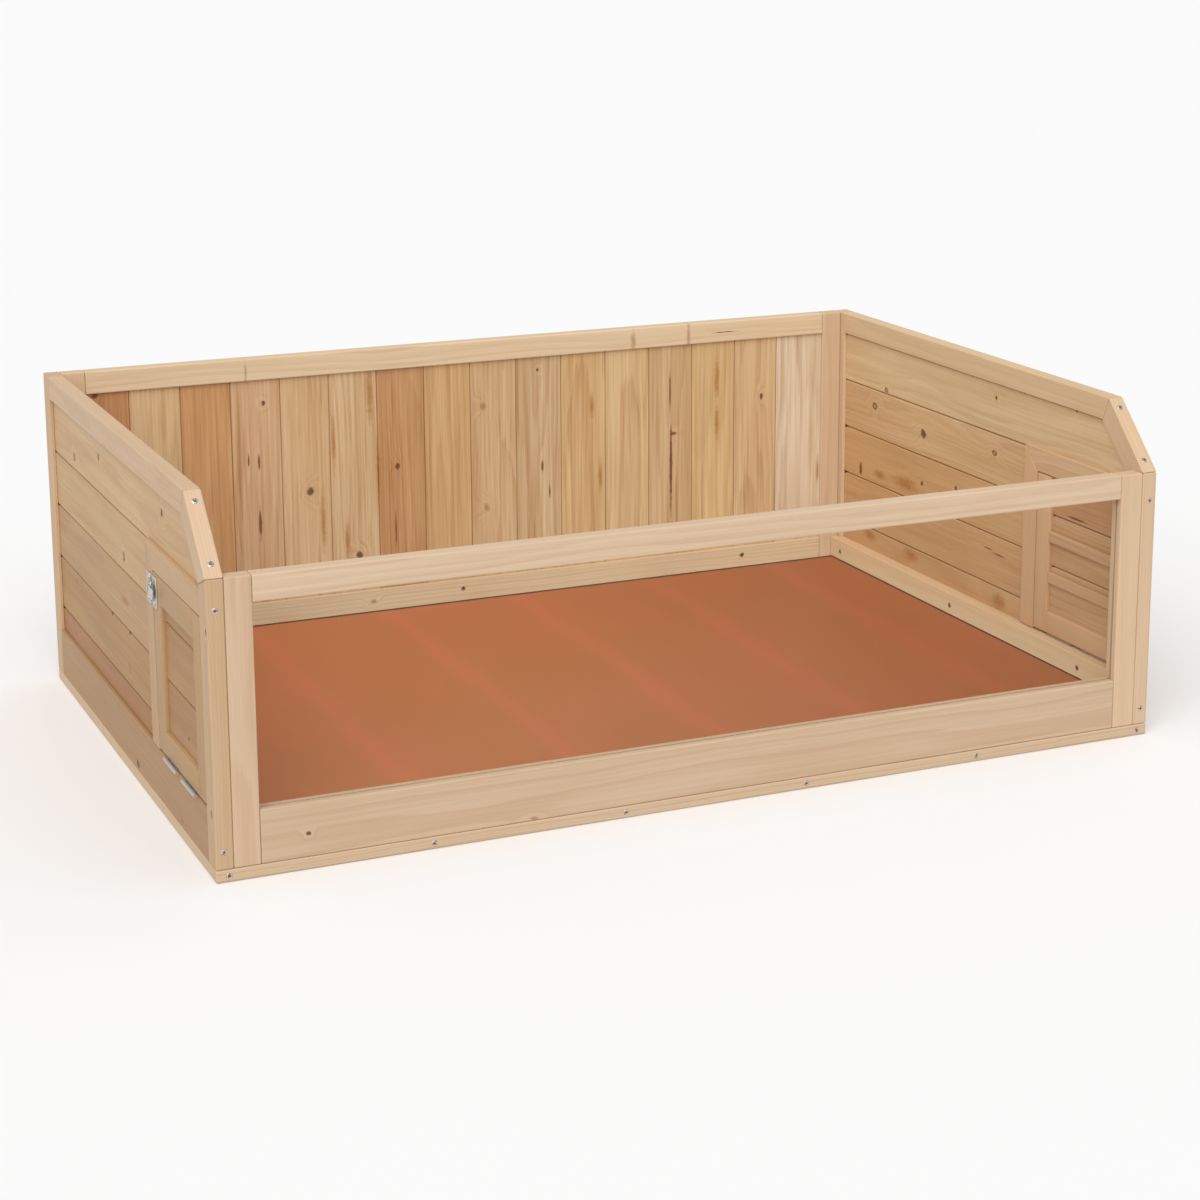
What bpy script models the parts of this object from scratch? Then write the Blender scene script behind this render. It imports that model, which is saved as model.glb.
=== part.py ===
"""Open-topped indoor rabbit hutch of spruce battens and boards.

Four framed panels stand on a base of battens: a front with a clear pane, a boarded back,
and two boarded sides that drop at 45 degrees to the lower front. Each side has a door that is
hinged along its foot and drops outwards as a ramp, held shut by a small draw latch.

Metres, +Z up, +X to the right seen from the front, the front faces -Y. The origin is the
middle of the footprint, on the ground.
"""

import math

import bmesh
import bpy
from mathutils import Matrix, Vector

# Whole object
WIDTH = 1.500
DEPTH = 1.000
HEIGHT = 0.525
FRONT_HEIGHT = 0.425

# Timber stock
FRAME_THICK = 0.025
FRAME_WIDE = 0.038
BOTTOM_RAIL_HIGH = 0.078
BOARD_THICK = 0.0125
HOUSING = 0.008
ARRIS = 0.0020
ARRIS_STEPS = 2
GAP = 0.0003

# Base and floor
BASE_HIGH = 0.018
BASE_WIDE = 0.028
BASE_SIDE_WIDE = 0.036
FLOOR_THICK = 0.012
FLOOR_TOP = 0.058
BEARER_WIDE = 0.038
BEARER_COUNT = 3
SIDE_CLEAT_THICK = 0.015

# Tongue-and-groove boards
SIDE_BOARD_COVER = 0.088
BACK_BOARD_COVER = 0.0863
BACK_FIRST_JOINT = -0.614
BACK_JOINT_COUNT = 15
VEE_WIDE = 0.003

# Front pane
PANE_THICK = 0.004

# Doors, with heights above the ground and depths behind the front face
DOOR_OPENING_REAR = 0.296
DOOR_SIDE_GAP = 0.002
DOOR_HEAD = 0.366
DOOR_FOOT_GAP = 0.0036
DOOR_BOTTOM_RAIL_HIGH = 0.0365
DOOR_TOP_RAIL_HIGH = 0.042
DOOR_BOARD_JOINTS = (0.214, 0.300)
RUNG_FEET = (0.185, 0.254)
RUNG_HIGH = 0.019

# Butt hinges under each door
HINGE_LONG = 0.070
HINGE_SPREAD = 0.100
KNUCKLE_COUNT = 5
KNUCKLE_RADIUS = 0.0030
KNUCKLE_GAP = 0.0004
HINGE_PIN_RADIUS = 0.0012
HINGE_BORE_RADIUS = 0.0015
HINGE_STAND_OFF = 0.0034
LEAF_THICK = 0.0012
LEAF_DEEP = 0.024

# Draw latch at the top rear corner of each door, measured outwards from the wall's face
LATCH_HEIGHT = 0.3365
LATCH_PLATE_HIGH = 0.046
LATCH_SHEET = 0.0012
LATCH_ROOTED = 0.0004
LATCH_BASE_SPAN = (0.2670, 0.2930)
LATCH_STRIKE_SPAN = (0.2995, 0.3230)
LATCH_LIP_DEPTH = 0.3042
LATCH_LIP_OUT = 0.0062
LATCH_LIP_HALF_HIGH = 0.0100
LATCH_EAR_SPAN = (0.2855, 0.2925)
LATCH_EAR_OUT = 0.0080
LATCH_EAR_HALF_HIGH = 0.0110
LATCH_PIVOT_DEPTH = 0.2890
LATCH_PIVOT_OUT = 0.0050
LATCH_PIN_RADIUS = 0.0012
LATCH_PIN_HALF_HIGH = 0.0135
LATCH_PIN_ROOM = 0.0003
LATCH_BARREL_RADIUS = 0.0024
LATCH_BARREL_HALF_HIGH = 0.0104
LATCH_LEVER_END = 0.2660
LATCH_LEVER_OUT = (0.0064, 0.0076)
LATCH_LEVER_HALF_HIGH = 0.0098
LATCH_LUG_SPAN = (0.2802, 0.2848)
LATCH_LUG_OUT = (0.0036, 0.0070)
LATCH_LOOP_HINGE_DEPTH = 0.2825
LATCH_LOOP_HINGE_OUT = 0.0054
LATCH_LOOP_END_DEPTH = 0.3080
LATCH_LOOP_END_OUT = 0.0034
LATCH_WIRE_RADIUS = 0.0008
LATCH_WIRE_ROOM = 0.00035
LATCH_LOOP_HALF_WIDE = 0.0150
LATCH_LOOP_CORNER = 0.0030
LATCH_LOOP_CORNER_STEPS = 4

# Worked out from the sizes above
HALF_WIDTH = WIDTH / 2
INNER_HALF_WIDTH = HALF_WIDTH - FRAME_THICK
BOARD_RECESS = (FRAME_THICK - BOARD_THICK) / 2
PANEL_FOOT = BASE_HIGH + GAP
BOTTOM_RAIL_TOP = BASE_HIGH + BOTTOM_RAIL_HIGH
CHAMFER = HEIGHT - FRONT_HEIGHT
DOOR_FOOT = BOTTOM_RAIL_TOP + DOOR_FOOT_GAP
HINGE_AXIS_HEIGHT = BOTTOM_RAIL_TOP + DOOR_FOOT_GAP / 2

SPRUCE_PALE = ("spruce", (0.66, 0.45, 0.27, 1.0), 0.55, 0.0)
SPRUCE_BOARD = ("spruce_boards", (0.58, 0.35, 0.19, 1.0), 0.55, 0.0)
FLOOR_FILM = ("floor_film", (0.45, 0.15, 0.06, 1.0), 0.35, 0.0)
CLEAR_PANE = ("clear_pane", (0.95, 0.97, 0.97, 1.0), 0.05, 0.0)
NICKEL_STEEL = ("nickel_steel", (0.55, 0.53, 0.50, 1.0), 0.30, 1.0)


def clear_scene():
    """Remove every object of the opened scene."""
    for thing in list(bpy.data.objects):
        bpy.data.objects.remove(thing, do_unlink=True)


def new_collection(name):
    group = bpy.data.collections.new(name)
    bpy.context.scene.collection.children.link(group)
    return group


def get_material(finish):
    """One Principled material for each finish, shared by the parts that have it."""
    name, colour, roughness, metallic = finish
    found = bpy.data.materials.get(name)
    if found:
        return found
    made = bpy.data.materials.new(name)
    made.use_nodes = True
    shader = made.node_tree.nodes["Principled BSDF"]
    shader.inputs["Base Color"].default_value = colour
    shader.inputs["Roughness"].default_value = roughness
    shader.inputs["Metallic"].default_value = metallic
    if finish is CLEAR_PANE:
        shader.inputs["Transmission Weight"].default_value = 1.0
    return made


def behind_front(depth):
    """World Y of a place that lies this far behind the front face."""
    return depth - DEPTH / 2


def add_object(name, mesh, group, finish=None):
    thing = bpy.data.objects.new(name, mesh)
    group.objects.link(thing)
    if finish:
        mesh.materials.append(get_material(finish))
    else:
        thing.hide_render = True
        thing.display_type = 'WIRE'
    return thing


def add_arris(thing, width=ARRIS):
    """Round every sharp edge a little."""
    bevel = thing.modifiers.new("arris", 'BEVEL')
    bevel.width = width
    bevel.segments = ARRIS_STEPS
    bevel.limit_method = 'ANGLE'
    bevel.angle_limit = math.radians(30)


def add_box(name, low, high, group, finish=None, arris=ARRIS):
    """A box between two corners, its origin in its middle."""
    low, high = Vector(low), Vector(high)
    low, high = (Vector(map(min, low, high)), Vector(map(max, low, high)))
    form = bmesh.new()
    bmesh.ops.create_cube(form, size=1.0, matrix=Matrix.Diagonal((*(high - low), 1.0)))
    mesh = bpy.data.meshes.new(name)
    form.to_mesh(mesh)
    form.free()
    thing = add_object(name, mesh, group, finish)
    thing.location = (low + high) / 2
    if finish and arris:
        add_arris(thing, arris)
    return thing


def add_rod(name, radius, start, end, group, finish=None, sides=16):
    """A straight round rod between two points."""
    start, end = Vector(start), Vector(end)
    form = bmesh.new()
    bmesh.ops.create_cone(form, cap_ends=True, segments=sides, radius1=radius, radius2=radius,
                          depth=(end - start).length)
    mesh = bpy.data.meshes.new(name)
    form.to_mesh(mesh)
    form.free()
    thing = add_object(name, mesh, group, finish)
    thing.location = (start + end) / 2
    thing.rotation_euler = (end - start).to_track_quat('Z', 'Y').to_euler()
    return thing


def mesh_from_curve(name, curve, matrix, group, finish=None):
    """Turn a curve into a closed mesh object that stands where the curve stood."""
    guide = bpy.data.objects.new(name + "_guide", curve)
    bpy.context.scene.collection.objects.link(guide)
    guide.matrix_world = matrix
    bpy.context.view_layer.update()
    evaluated = guide.evaluated_get(bpy.context.evaluated_depsgraph_get())
    mesh = bpy.data.meshes.new_from_object(evaluated)
    bpy.data.objects.remove(guide, do_unlink=True)
    form = bmesh.new()
    form.from_mesh(mesh)
    bmesh.ops.remove_doubles(form, verts=form.verts, dist=0.00001)
    bmesh.ops.recalc_face_normals(form, faces=form.faces)
    form.to_mesh(mesh)
    form.free()
    mesh.name = name
    mesh.materials.clear()
    thing = add_object(name, mesh, group, finish)
    thing.matrix_world = matrix
    return thing


def add_side_slab(name, outline, out_low, out_high, side, group, finish=None, arris=ARRIS):
    """A slab parallel to the side walls, cut to an outline of (depth, height) points."""
    curve = bpy.data.curves.new(name, 'CURVE')
    curve.dimensions = '2D'
    curve.fill_mode = 'BOTH'
    curve.extrude = abs(out_high - out_low) / 2
    spline = curve.splines.new('POLY')
    spline.points.add(len(outline) - 1)
    for point, (depth, height) in zip(spline.points, outline):
        point.co = (behind_front(depth), height, 0.0, 1.0)
    spline.use_cyclic_u = True
    place = Matrix(((0, 0, 1, side * (out_low + out_high) / 2), (1, 0, 0, 0), (0, 1, 0, 0), (0, 0, 0, 1)))
    thing = mesh_from_curve(name, curve, place, group, finish)
    if finish and arris:
        add_arris(thing, arris)
    return thing


def boolean(thing, other, operation='DIFFERENCE'):
    step = thing.modifiers.new(operation.lower(), 'BOOLEAN')
    step.object = other
    step.operation = operation
    step.solver = 'EXACT'


def add_vee_cutter(name, starts, along, group):
    """Square bars turned on edge, one for each vee between two boards.

    starts are the bars' middles, and along is the vector from one end of a bar to the other.
    """
    side = VEE_WIDE / math.sqrt(2)
    turn = Vector(along).to_track_quat('Z', 'Y').to_matrix().to_4x4()
    edge_on = Matrix.Rotation(math.radians(45), 4, 'Z')
    stretch = Matrix.Diagonal((side, side, Vector(along).length, 1.0))
    form = bmesh.new()
    for start in starts:
        place = Matrix.Translation(start) @ turn @ edge_on @ stretch
        bmesh.ops.create_cube(form, size=1.0, matrix=place)
    mesh = bpy.data.meshes.new(name)
    form.to_mesh(mesh)
    form.free()
    return add_object(name, mesh, group)


def build_base(parts):
    """Battens under the panels, bearers across them and the floor sheet on the bearers."""
    front, back = -DEPTH / 2, DEPTH / 2
    add_box("base_front_batten", (-HALF_WIDTH, front, 0), (HALF_WIDTH, front + BASE_WIDE, BASE_HIGH),
            parts, SPRUCE_PALE)
    add_box("base_back_batten", (-HALF_WIDTH, back - BASE_WIDE, 0), (HALF_WIDTH, back, BASE_HIGH),
            parts, SPRUCE_PALE)
    near, far = front + BASE_WIDE + GAP, back - BASE_WIDE - GAP
    for side, word in ((-1, "left"), (1, "right")):
        add_box(f"base_{word}_batten", (side * HALF_WIDTH, near, 0),
                (side * (HALF_WIDTH - BASE_SIDE_WIDE), far, BASE_HIGH), parts, SPRUCE_PALE)
    pitch = (WIDTH - BASE_SIDE_WIDE) / (BEARER_COUNT + 1)
    for index in range(BEARER_COUNT):
        middle = (index - (BEARER_COUNT - 1) / 2) * pitch
        add_box(f"floor_bearer_{index + 1}", (middle - BEARER_WIDE / 2, near, 0),
                (middle + BEARER_WIDE / 2, far, FLOOR_TOP - FLOOR_THICK - GAP), parts, SPRUCE_PALE)
    edge_x = INNER_HALF_WIDTH - GAP
    edge_y = DEPTH / 2 - FRAME_THICK - GAP
    add_box("floor_sheet", (-edge_x, -edge_y, FLOOR_TOP - FLOOR_THICK), (edge_x, edge_y, FLOOR_TOP),
            parts, FLOOR_FILM, arris=0.0006)
    for side, word in ((-1, "left"), (1, "right")):
        add_box(f"{word}_floor_cleat", (side * (edge_x - SIDE_CLEAT_THICK), -edge_y, FLOOR_TOP + GAP),
                (side * edge_x, edge_y, BOTTOM_RAIL_TOP), parts, SPRUCE_PALE)


def build_cross_frame(word, face_y, inward, height, parts, cutters, slab_thick):
    """The front's or the back's frame between the side walls, grooved for its infill.

    face_y is the outer face, inward is +1 or -1 along Y, and the infill is slab_thick thick.
    Returns the infill's own corners.
    """
    inner_y = face_y + inward * FRAME_THICK
    outer_x = INNER_HALF_WIDTH - GAP
    rail_x = outer_x - FRAME_WIDE
    names = []
    for side, hand in ((-1, "left"), (1, "right")):
        stile = add_box(f"{word}_{hand}_stile", (side * outer_x, face_y, PANEL_FOOT),
                        (side * rail_x, inner_y, height), parts, SPRUCE_PALE)
        names.append(stile)
    rail_end = rail_x - GAP
    top_foot = height - FRAME_WIDE
    names.append(add_box(f"{word}_top_rail", (-rail_end, face_y, top_foot), (rail_end, inner_y, height),
                         parts, SPRUCE_PALE))
    names.append(add_box(f"{word}_bottom_rail", (-rail_end, face_y, PANEL_FOOT),
                         (rail_end, inner_y, BOTTOM_RAIL_TOP), parts, SPRUCE_PALE))
    middle_y = (face_y + inner_y) / 2
    low = Vector((-rail_x - HOUSING, middle_y - slab_thick / 2, BOTTOM_RAIL_TOP - HOUSING))
    high = Vector((rail_x + HOUSING, middle_y + slab_thick / 2, top_foot + HOUSING))
    room = Vector((GAP, GAP, GAP))
    housing = add_box(f"{word}_housing", low - room, high + room, cutters)
    for member in names:
        boolean(member, housing)
    return low, high


def build_front(parts, cutters):
    """Frame with a clear pane held in a groove."""
    low, high = build_cross_frame("front", -DEPTH / 2, 1, FRONT_HEIGHT, parts, cutters, PANE_THICK)
    add_box("front_pane", low, high, parts, CLEAR_PANE, arris=0)


def build_back(parts, cutters):
    """Frame filled with upright tongue-and-groove boards."""
    low, high = build_cross_frame("back", DEPTH / 2, -1, HEIGHT, parts, cutters, BOARD_THICK)
    boards = add_box("back_boards", low, high, parts, SPRUCE_BOARD, arris=0)
    joints = [BACK_FIRST_JOINT + index * BACK_BOARD_COVER for index in range(BACK_JOINT_COUNT)]
    middle_z = (low.z + high.z) / 2
    reach = high.z - low.z + 2 * HOUSING
    starts = [(joint, face, middle_z) for joint in joints for face in (low.y, high.y)]
    boolean(boards, add_vee_cutter("back_vees", starts, (0, 0, reach), cutters))


def side_outlines():
    """Outlines of the side wall's pieces as (depth behind the front, height) points."""
    step = FRAME_WIDE * math.tan(math.radians(22.5))
    rear = DEPTH - FRAME_WIDE
    top_inner = HEIGHT - FRAME_WIDE
    half_gap = GAP / 2 / math.cos(math.radians(22.5))
    return {
        "top_rail": [(CHAMFER + half_gap, HEIGHT), (rear - GAP, HEIGHT), (rear - GAP, top_inner),
                     (CHAMFER + step + half_gap, top_inner)],
        "chamfer_rail": [(CHAMFER - half_gap, HEIGHT), (CHAMFER + step - half_gap, top_inner),
                         (FRAME_WIDE, FRONT_HEIGHT - step + half_gap), (0, FRONT_HEIGHT + half_gap)],
        "front_stile": [(0, PANEL_FOOT), (FRAME_WIDE, PANEL_FOOT),
                        (FRAME_WIDE, FRONT_HEIGHT - step - half_gap), (0, FRONT_HEIGHT - half_gap)],
    }


def boards_outline(room):
    """Outline of the side's board panel, let into its frame, grown by room all round."""
    inset = FRAME_WIDE - HOUSING
    rear = DEPTH - inset
    top = HEIGHT - inset
    foot = BOTTOM_RAIL_TOP - HOUSING
    fall = FRONT_HEIGHT - inset * math.sqrt(2)
    front = inset
    over_door = DOOR_HEAD + FRAME_WIDE - HOUSING
    jamb = DOOR_OPENING_REAR + FRAME_WIDE - HOUSING
    slant = room * (math.sqrt(2) - 1)
    return [
        (jamb - room, foot - room),
        (rear + room, foot - room),
        (rear + room, top + room),
        (top - fall - slant, top + room),
        (front - room, front + fall + slant),
        (front - room, over_door - room),
        (jamb - room, over_door - room),
    ]


def build_side(side, word, parts, cutters):
    """One side wall: frame, door jamb and lintel, and level boards let into them."""
    inner, outer = INNER_HALF_WIDTH, HALF_WIDTH
    frame = []
    for piece, outline in side_outlines().items():
        frame.append(add_side_slab(f"{word}_{piece}", outline, inner, outer, side, parts, SPRUCE_PALE))
    front_y, back_y = behind_front(FRAME_WIDE + GAP), behind_front(DEPTH - FRAME_WIDE)
    frame.append(add_box(f"{word}_rear_stile", (side * inner, back_y, PANEL_FOOT),
                         (side * outer, DEPTH / 2, HEIGHT), parts, SPRUCE_PALE))
    frame.append(add_box(f"{word}_bottom_rail", (side * inner, front_y, PANEL_FOOT),
                         (side * outer, back_y - GAP, BOTTOM_RAIL_TOP), parts, SPRUCE_PALE))
    head, jamb = DOOR_HEAD, DOOR_OPENING_REAR
    head_top, jamb_rear = head + FRAME_WIDE, jamb + FRAME_WIDE
    lintel = [(FRAME_WIDE + GAP, head), (jamb - GAP, head), (jamb_rear - GAP, head_top),
              (FRAME_WIDE + GAP, head_top)]
    post = [(jamb, BOTTOM_RAIL_TOP + GAP), (jamb_rear, BOTTOM_RAIL_TOP + GAP), (jamb_rear, head_top),
            (jamb, head)]
    frame.append(add_side_slab(f"{word}_door_lintel", lintel, inner, outer, side, parts, SPRUCE_PALE))
    frame.append(add_side_slab(f"{word}_door_jamb", post, inner, outer, side, parts, SPRUCE_PALE))
    low_x, high_x = inner + BOARD_RECESS, outer - BOARD_RECESS
    housing = add_side_slab(f"{word}_housing", boards_outline(GAP), low_x - GAP, high_x + GAP, side, cutters)
    for member in frame:
        boolean(member, housing)
    boards = add_side_slab(f"{word}_boards", boards_outline(0.0), low_x, high_x, side, parts,
                           SPRUCE_BOARD, arris=0)
    top_line = HEIGHT - FRAME_WIDE
    joints = [top_line - SIDE_BOARD_COVER * (index + 1) for index in range(4)]
    starts = [(side * face, 0.0, joint) for joint in joints for face in (low_x, high_x)]
    boolean(boards, add_vee_cutter(f"{word}_vees", starts, (0, DEPTH, 0), cutters))


def build_door(side, word, parts, cutters):
    """A door frame with boards let in, and two rungs on the side that is the ramp's top."""
    inner, outer = INNER_HALF_WIDTH, HALF_WIDTH
    near, far = FRAME_WIDE + DOOR_SIDE_GAP, DOOR_OPENING_REAR - DOOR_SIDE_GAP
    foot, top = DOOR_FOOT, DOOR_HEAD - DOOR_SIDE_GAP
    pivot = Vector((side * (outer + HINGE_STAND_OFF), behind_front((near + far) / 2), HINGE_AXIS_HEIGHT))
    hook = bpy.data.objects.new(f"{word}_door_axis", None)
    hook.location = pivot
    parts.objects.link(hook)

    frame = add_box(f"{word}_door_frame", (side * inner, behind_front(near), foot),
                    (side * outer, behind_front(far), top), parts, SPRUCE_PALE)
    hole_near, hole_far = near + FRAME_WIDE, far - FRAME_WIDE
    hole_foot, hole_top = foot + DOOR_BOTTOM_RAIL_HIGH, top - DOOR_TOP_RAIL_HIGH
    past = 0.01
    light = add_box(f"{word}_door_light", (side * (inner - past), behind_front(hole_near), hole_foot),
                    (side * (outer + past), behind_front(hole_far), hole_top), cutters)
    boolean(frame, light)
    low_x, high_x = inner + BOARD_RECESS, outer - BOARD_RECESS
    rebate = add_box(f"{word}_door_rebate", (side * (inner - past), behind_front(hole_near), hole_top - past),
                     (side * low_x, behind_front(hole_far), top + past), cutters)
    boolean(frame, rebate)
    low = Vector((low_x, behind_front(hole_near - HOUSING), hole_foot - HOUSING))
    high = Vector((high_x, behind_front(hole_far + HOUSING), hole_top + HOUSING))
    room = Vector((GAP, GAP, GAP))
    mirror = Vector((side, 1, 1))
    boolean(frame, add_box(f"{word}_door_housing", (low - room) * mirror, (high + room) * mirror, cutters))
    boards = add_box(f"{word}_door_boards", low * mirror, high * mirror, parts, SPRUCE_BOARD, arris=0)
    starts = [(side * face, pivot.y, joint) for joint in DOOR_BOARD_JOINTS for face in (low_x, high_x)]
    boolean(boards, add_vee_cutter(f"{word}_door_vees", starts, (0, 0.5, 0), cutters))
    made = [frame, boards]
    for index, rung_foot in enumerate(RUNG_FEET):
        made.append(add_box(f"{word}_door_rung_{index + 1}",
                            (side * inner, behind_front(hole_near + GAP), rung_foot),
                            (side * (low_x - GAP), behind_front(hole_far - GAP), rung_foot + RUNG_HIGH),
                            parts, SPRUCE_PALE))
    for piece in made:
        hang_on(piece, hook)
    return hook


def hang_on(piece, hook):
    """Parent a piece to an empty without moving it."""
    bpy.context.view_layer.update()
    piece.parent = hook
    piece.matrix_parent_inverse = hook.matrix_world.inverted()


def build_hinge(side, word, index, hook, parts, cutters):
    """A butt hinge in the gap under the door, its knuckles outside the wall's face."""
    door_middle = hook.location.y
    middle = door_middle + (index - 0.5) * HINGE_SPREAD
    axis_x, axis_z = HALF_WIDTH + HINGE_STAND_OFF, HINGE_AXIS_HEIGHT
    start = middle - HINGE_LONG / 2
    span = HINGE_LONG / KNUCKLE_COUNT
    plate_x = HALF_WIDTH - 0.0002
    name = f"{word}_hinge_{index + 1}"
    leaves = (("fixed_leaf", 0, -LEAF_THICK - GAP), ("door_leaf", 1, GAP))
    for part_name, first, rise in leaves:
        plate = add_box(f"{name}_{part_name}", (side * plate_x, start, axis_z + rise),
                        (side * (plate_x - LEAF_DEEP), start + HINGE_LONG, axis_z + rise + LEAF_THICK),
                        parts, NICKEL_STEEL, arris=0)
        for knuckle in range(first, KNUCKLE_COUNT, 2):
            near = start + knuckle * span + KNUCKLE_GAP / 2
            far = near + span - KNUCKLE_GAP
            tag = f"{name}_{part_name}_{knuckle}"
            tongue = add_box(f"{tag}_tongue", (side * axis_x, near, axis_z + rise),
                             (side * (plate_x - 0.002), far, axis_z + rise + LEAF_THICK), cutters)
            barrel = add_rod(f"{tag}_barrel", KNUCKLE_RADIUS, (side * axis_x, near, axis_z),
                             (side * axis_x, far, axis_z), cutters)
            boolean(plate, tongue, 'UNION')
            boolean(plate, barrel, 'UNION')
        pin_radius = HINGE_PIN_RADIUS if first == 0 else HINGE_BORE_RADIUS
        reach = 0.0 if first == 0 else 0.002
        pin = add_rod(f"{name}_{part_name}_pin", pin_radius, (side * axis_x, start - reach, axis_z),
                      (side * axis_x, start + HINGE_LONG + reach, axis_z), cutters, sides=12)
        boolean(plate, pin, 'UNION' if first == 0 else 'DIFFERENCE')
        if first == 1:
            hang_on(plate, hook)


def latch_box(name, side, out, depth, half_high, group, finish=None):
    """A box of the latch between two distances out of the wall and two depths."""
    low = (side * (HALF_WIDTH + out[0]), behind_front(depth[0]), LATCH_HEIGHT + half_high[0])
    high = (side * (HALF_WIDTH + out[1]), behind_front(depth[1]), LATCH_HEIGHT + half_high[1])
    return add_box(name, low, high, group, finish, arris=0)


def latch_rod(name, side, out, depth, half_high, radius, group):
    """An upright rod of the latch."""
    x, y = side * (HALF_WIDTH + out), behind_front(depth)
    return add_rod(name, radius, (x, y, LATCH_HEIGHT - half_high), (x, y, LATCH_HEIGHT + half_high),
                   group, sides=12)


def build_latch(side, word, hook, parts, cutters):
    """A draw latch: base, lever and wire loop on the door, and a strike on the jamb."""
    sheet = (GAP, GAP + LATCH_SHEET)
    rooted = GAP + LATCH_ROOTED
    half, past = LATCH_PLATE_HIGH / 2, 0.002
    plate_span, lever_half = (-half, half), (-LATCH_LEVER_HALF_HIGH, LATCH_LEVER_HALF_HIGH)
    pivot_out, pivot_depth = LATCH_PIVOT_OUT, LATCH_PIVOT_DEPTH

    strike = latch_box(f"{word}_latch_strike", side, sheet, LATCH_STRIKE_SPAN, plate_span,
                       parts, NICKEL_STEEL)
    lip = latch_box(f"{word}_latch_lip", side, (rooted, LATCH_LIP_OUT),
                    (LATCH_LIP_DEPTH, LATCH_LIP_DEPTH + LATCH_SHEET),
                    (-LATCH_LIP_HALF_HIGH, LATCH_LIP_HALF_HIGH), cutters)
    boolean(strike, lip, 'UNION')

    base = latch_box(f"{word}_latch_base", side, sheet, LATCH_BASE_SPAN, plate_span, parts, NICKEL_STEEL)
    for sign in (-1, 1):
        ear_high = (sign * LATCH_EAR_HALF_HIGH, sign * (LATCH_EAR_HALF_HIGH + LATCH_SHEET))
        ear = latch_box(f"{word}_latch_ear_{sign}", side, (rooted, LATCH_EAR_OUT), LATCH_EAR_SPAN,
                        ear_high, cutters)
        boolean(base, ear, 'UNION')
    boolean(base, latch_rod(f"{word}_latch_eye", side, pivot_out, pivot_depth, LATCH_PIN_HALF_HIGH + past,
                            LATCH_PIN_RADIUS + LATCH_PIN_ROOM, cutters))

    lever = latch_box(f"{word}_latch_lever", side, LATCH_LEVER_OUT, (LATCH_LEVER_END, pivot_depth),
                      lever_half, parts, NICKEL_STEEL)
    lug = latch_box(f"{word}_latch_lug", side, LATCH_LUG_OUT, LATCH_LUG_SPAN, lever_half, cutters)
    boolean(lever, lug, 'UNION')
    boolean(lever, latch_rod(f"{word}_latch_barrel", side, pivot_out, pivot_depth, LATCH_BARREL_HALF_HIGH,
                             LATCH_BARREL_RADIUS, cutters), 'UNION')
    boolean(lever, latch_rod(f"{word}_latch_pin", side, pivot_out, pivot_depth, LATCH_PIN_HALF_HIGH,
                             LATCH_PIN_RADIUS, cutters), 'UNION')
    boolean(lever, latch_rod(f"{word}_latch_hole", side, LATCH_LOOP_HINGE_OUT, LATCH_LOOP_HINGE_DEPTH,
                             LATCH_LEVER_HALF_HIGH + past, LATCH_WIRE_RADIUS + LATCH_WIRE_ROOM, cutters))
    loop = build_loop(side, word, parts)
    for piece in (base, lever, loop):
        hang_on(piece, hook)


def build_loop(side, word, parts):
    """The latch's closed loop of wire, with rounded corners."""
    curve = bpy.data.curves.new(f"{word}_latch_loop", 'CURVE')
    curve.dimensions = '3D'
    curve.bevel_depth = LATCH_WIRE_RADIUS
    curve.bevel_resolution = 1
    corner, steps = LATCH_LOOP_CORNER, LATCH_LOOP_CORNER_STEPS
    near, far = LATCH_LOOP_HINGE_DEPTH, LATCH_LOOP_END_DEPTH
    half = LATCH_LOOP_HALF_WIDE
    turns = []
    corners = ((near, -half, 180), (far, -half, 270), (far, half, 0), (near, half, 90))
    for along, across, first_angle in corners:
        centre_along = along + (corner if along == near else -corner)
        centre_across = across + (corner if across < 0 else -corner)
        for step in range(steps):
            angle = math.radians(first_angle + step * 90 / (steps - 1))
            turns.append((centre_along + corner * math.cos(angle), centre_across + corner * math.sin(angle)))
    spline = curve.splines.new('POLY')
    spline.points.add(len(turns) - 1)
    slope = (LATCH_LOOP_END_OUT - LATCH_LOOP_HINGE_OUT) / (far - near)
    for point, (depth, across) in zip(spline.points, turns):
        out = HALF_WIDTH + LATCH_LOOP_HINGE_OUT + slope * (depth - near)
        point.co = (side * out, behind_front(depth), LATCH_HEIGHT + across, 1.0)
    spline.use_cyclic_u = True
    return mesh_from_curve(f"{word}_latch_loop", curve, Matrix.Identity(4), parts, NICKEL_STEEL)


def smooth_round_pieces(parts):
    """Shade the metal pieces smooth between their sharp edges."""
    for thing in parts.objects:
        if thing.type == 'MESH' and thing.data.materials[0].name == NICKEL_STEEL[0]:
            thing.data.shade_smooth()
            thing.data.set_sharp_from_angle(angle=math.radians(35))


def main():
    clear_scene()
    parts = new_collection("rabbit_hutch")
    cutters = new_collection("cutters")
    build_base(parts)
    build_front(parts, cutters)
    build_back(parts, cutters)
    for side, word in ((-1, "left"), (1, "right")):
        build_side(side, word, parts, cutters)
        hook = build_door(side, word, parts, cutters)
        for index in range(2):
            build_hinge(side, word, index, hook, parts, cutters)
        build_latch(side, word, hook, parts, cutters)
    smooth_round_pieces(parts)


main()
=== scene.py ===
"""The looks of an open-topped indoor rabbit hutch: timber, boards, floor film, pane and fittings.

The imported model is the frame. Its timbers and pane stay, with better materials. The board panels,
the door frames and the latches are made again with more detail, and the screws are added.
"""

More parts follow.
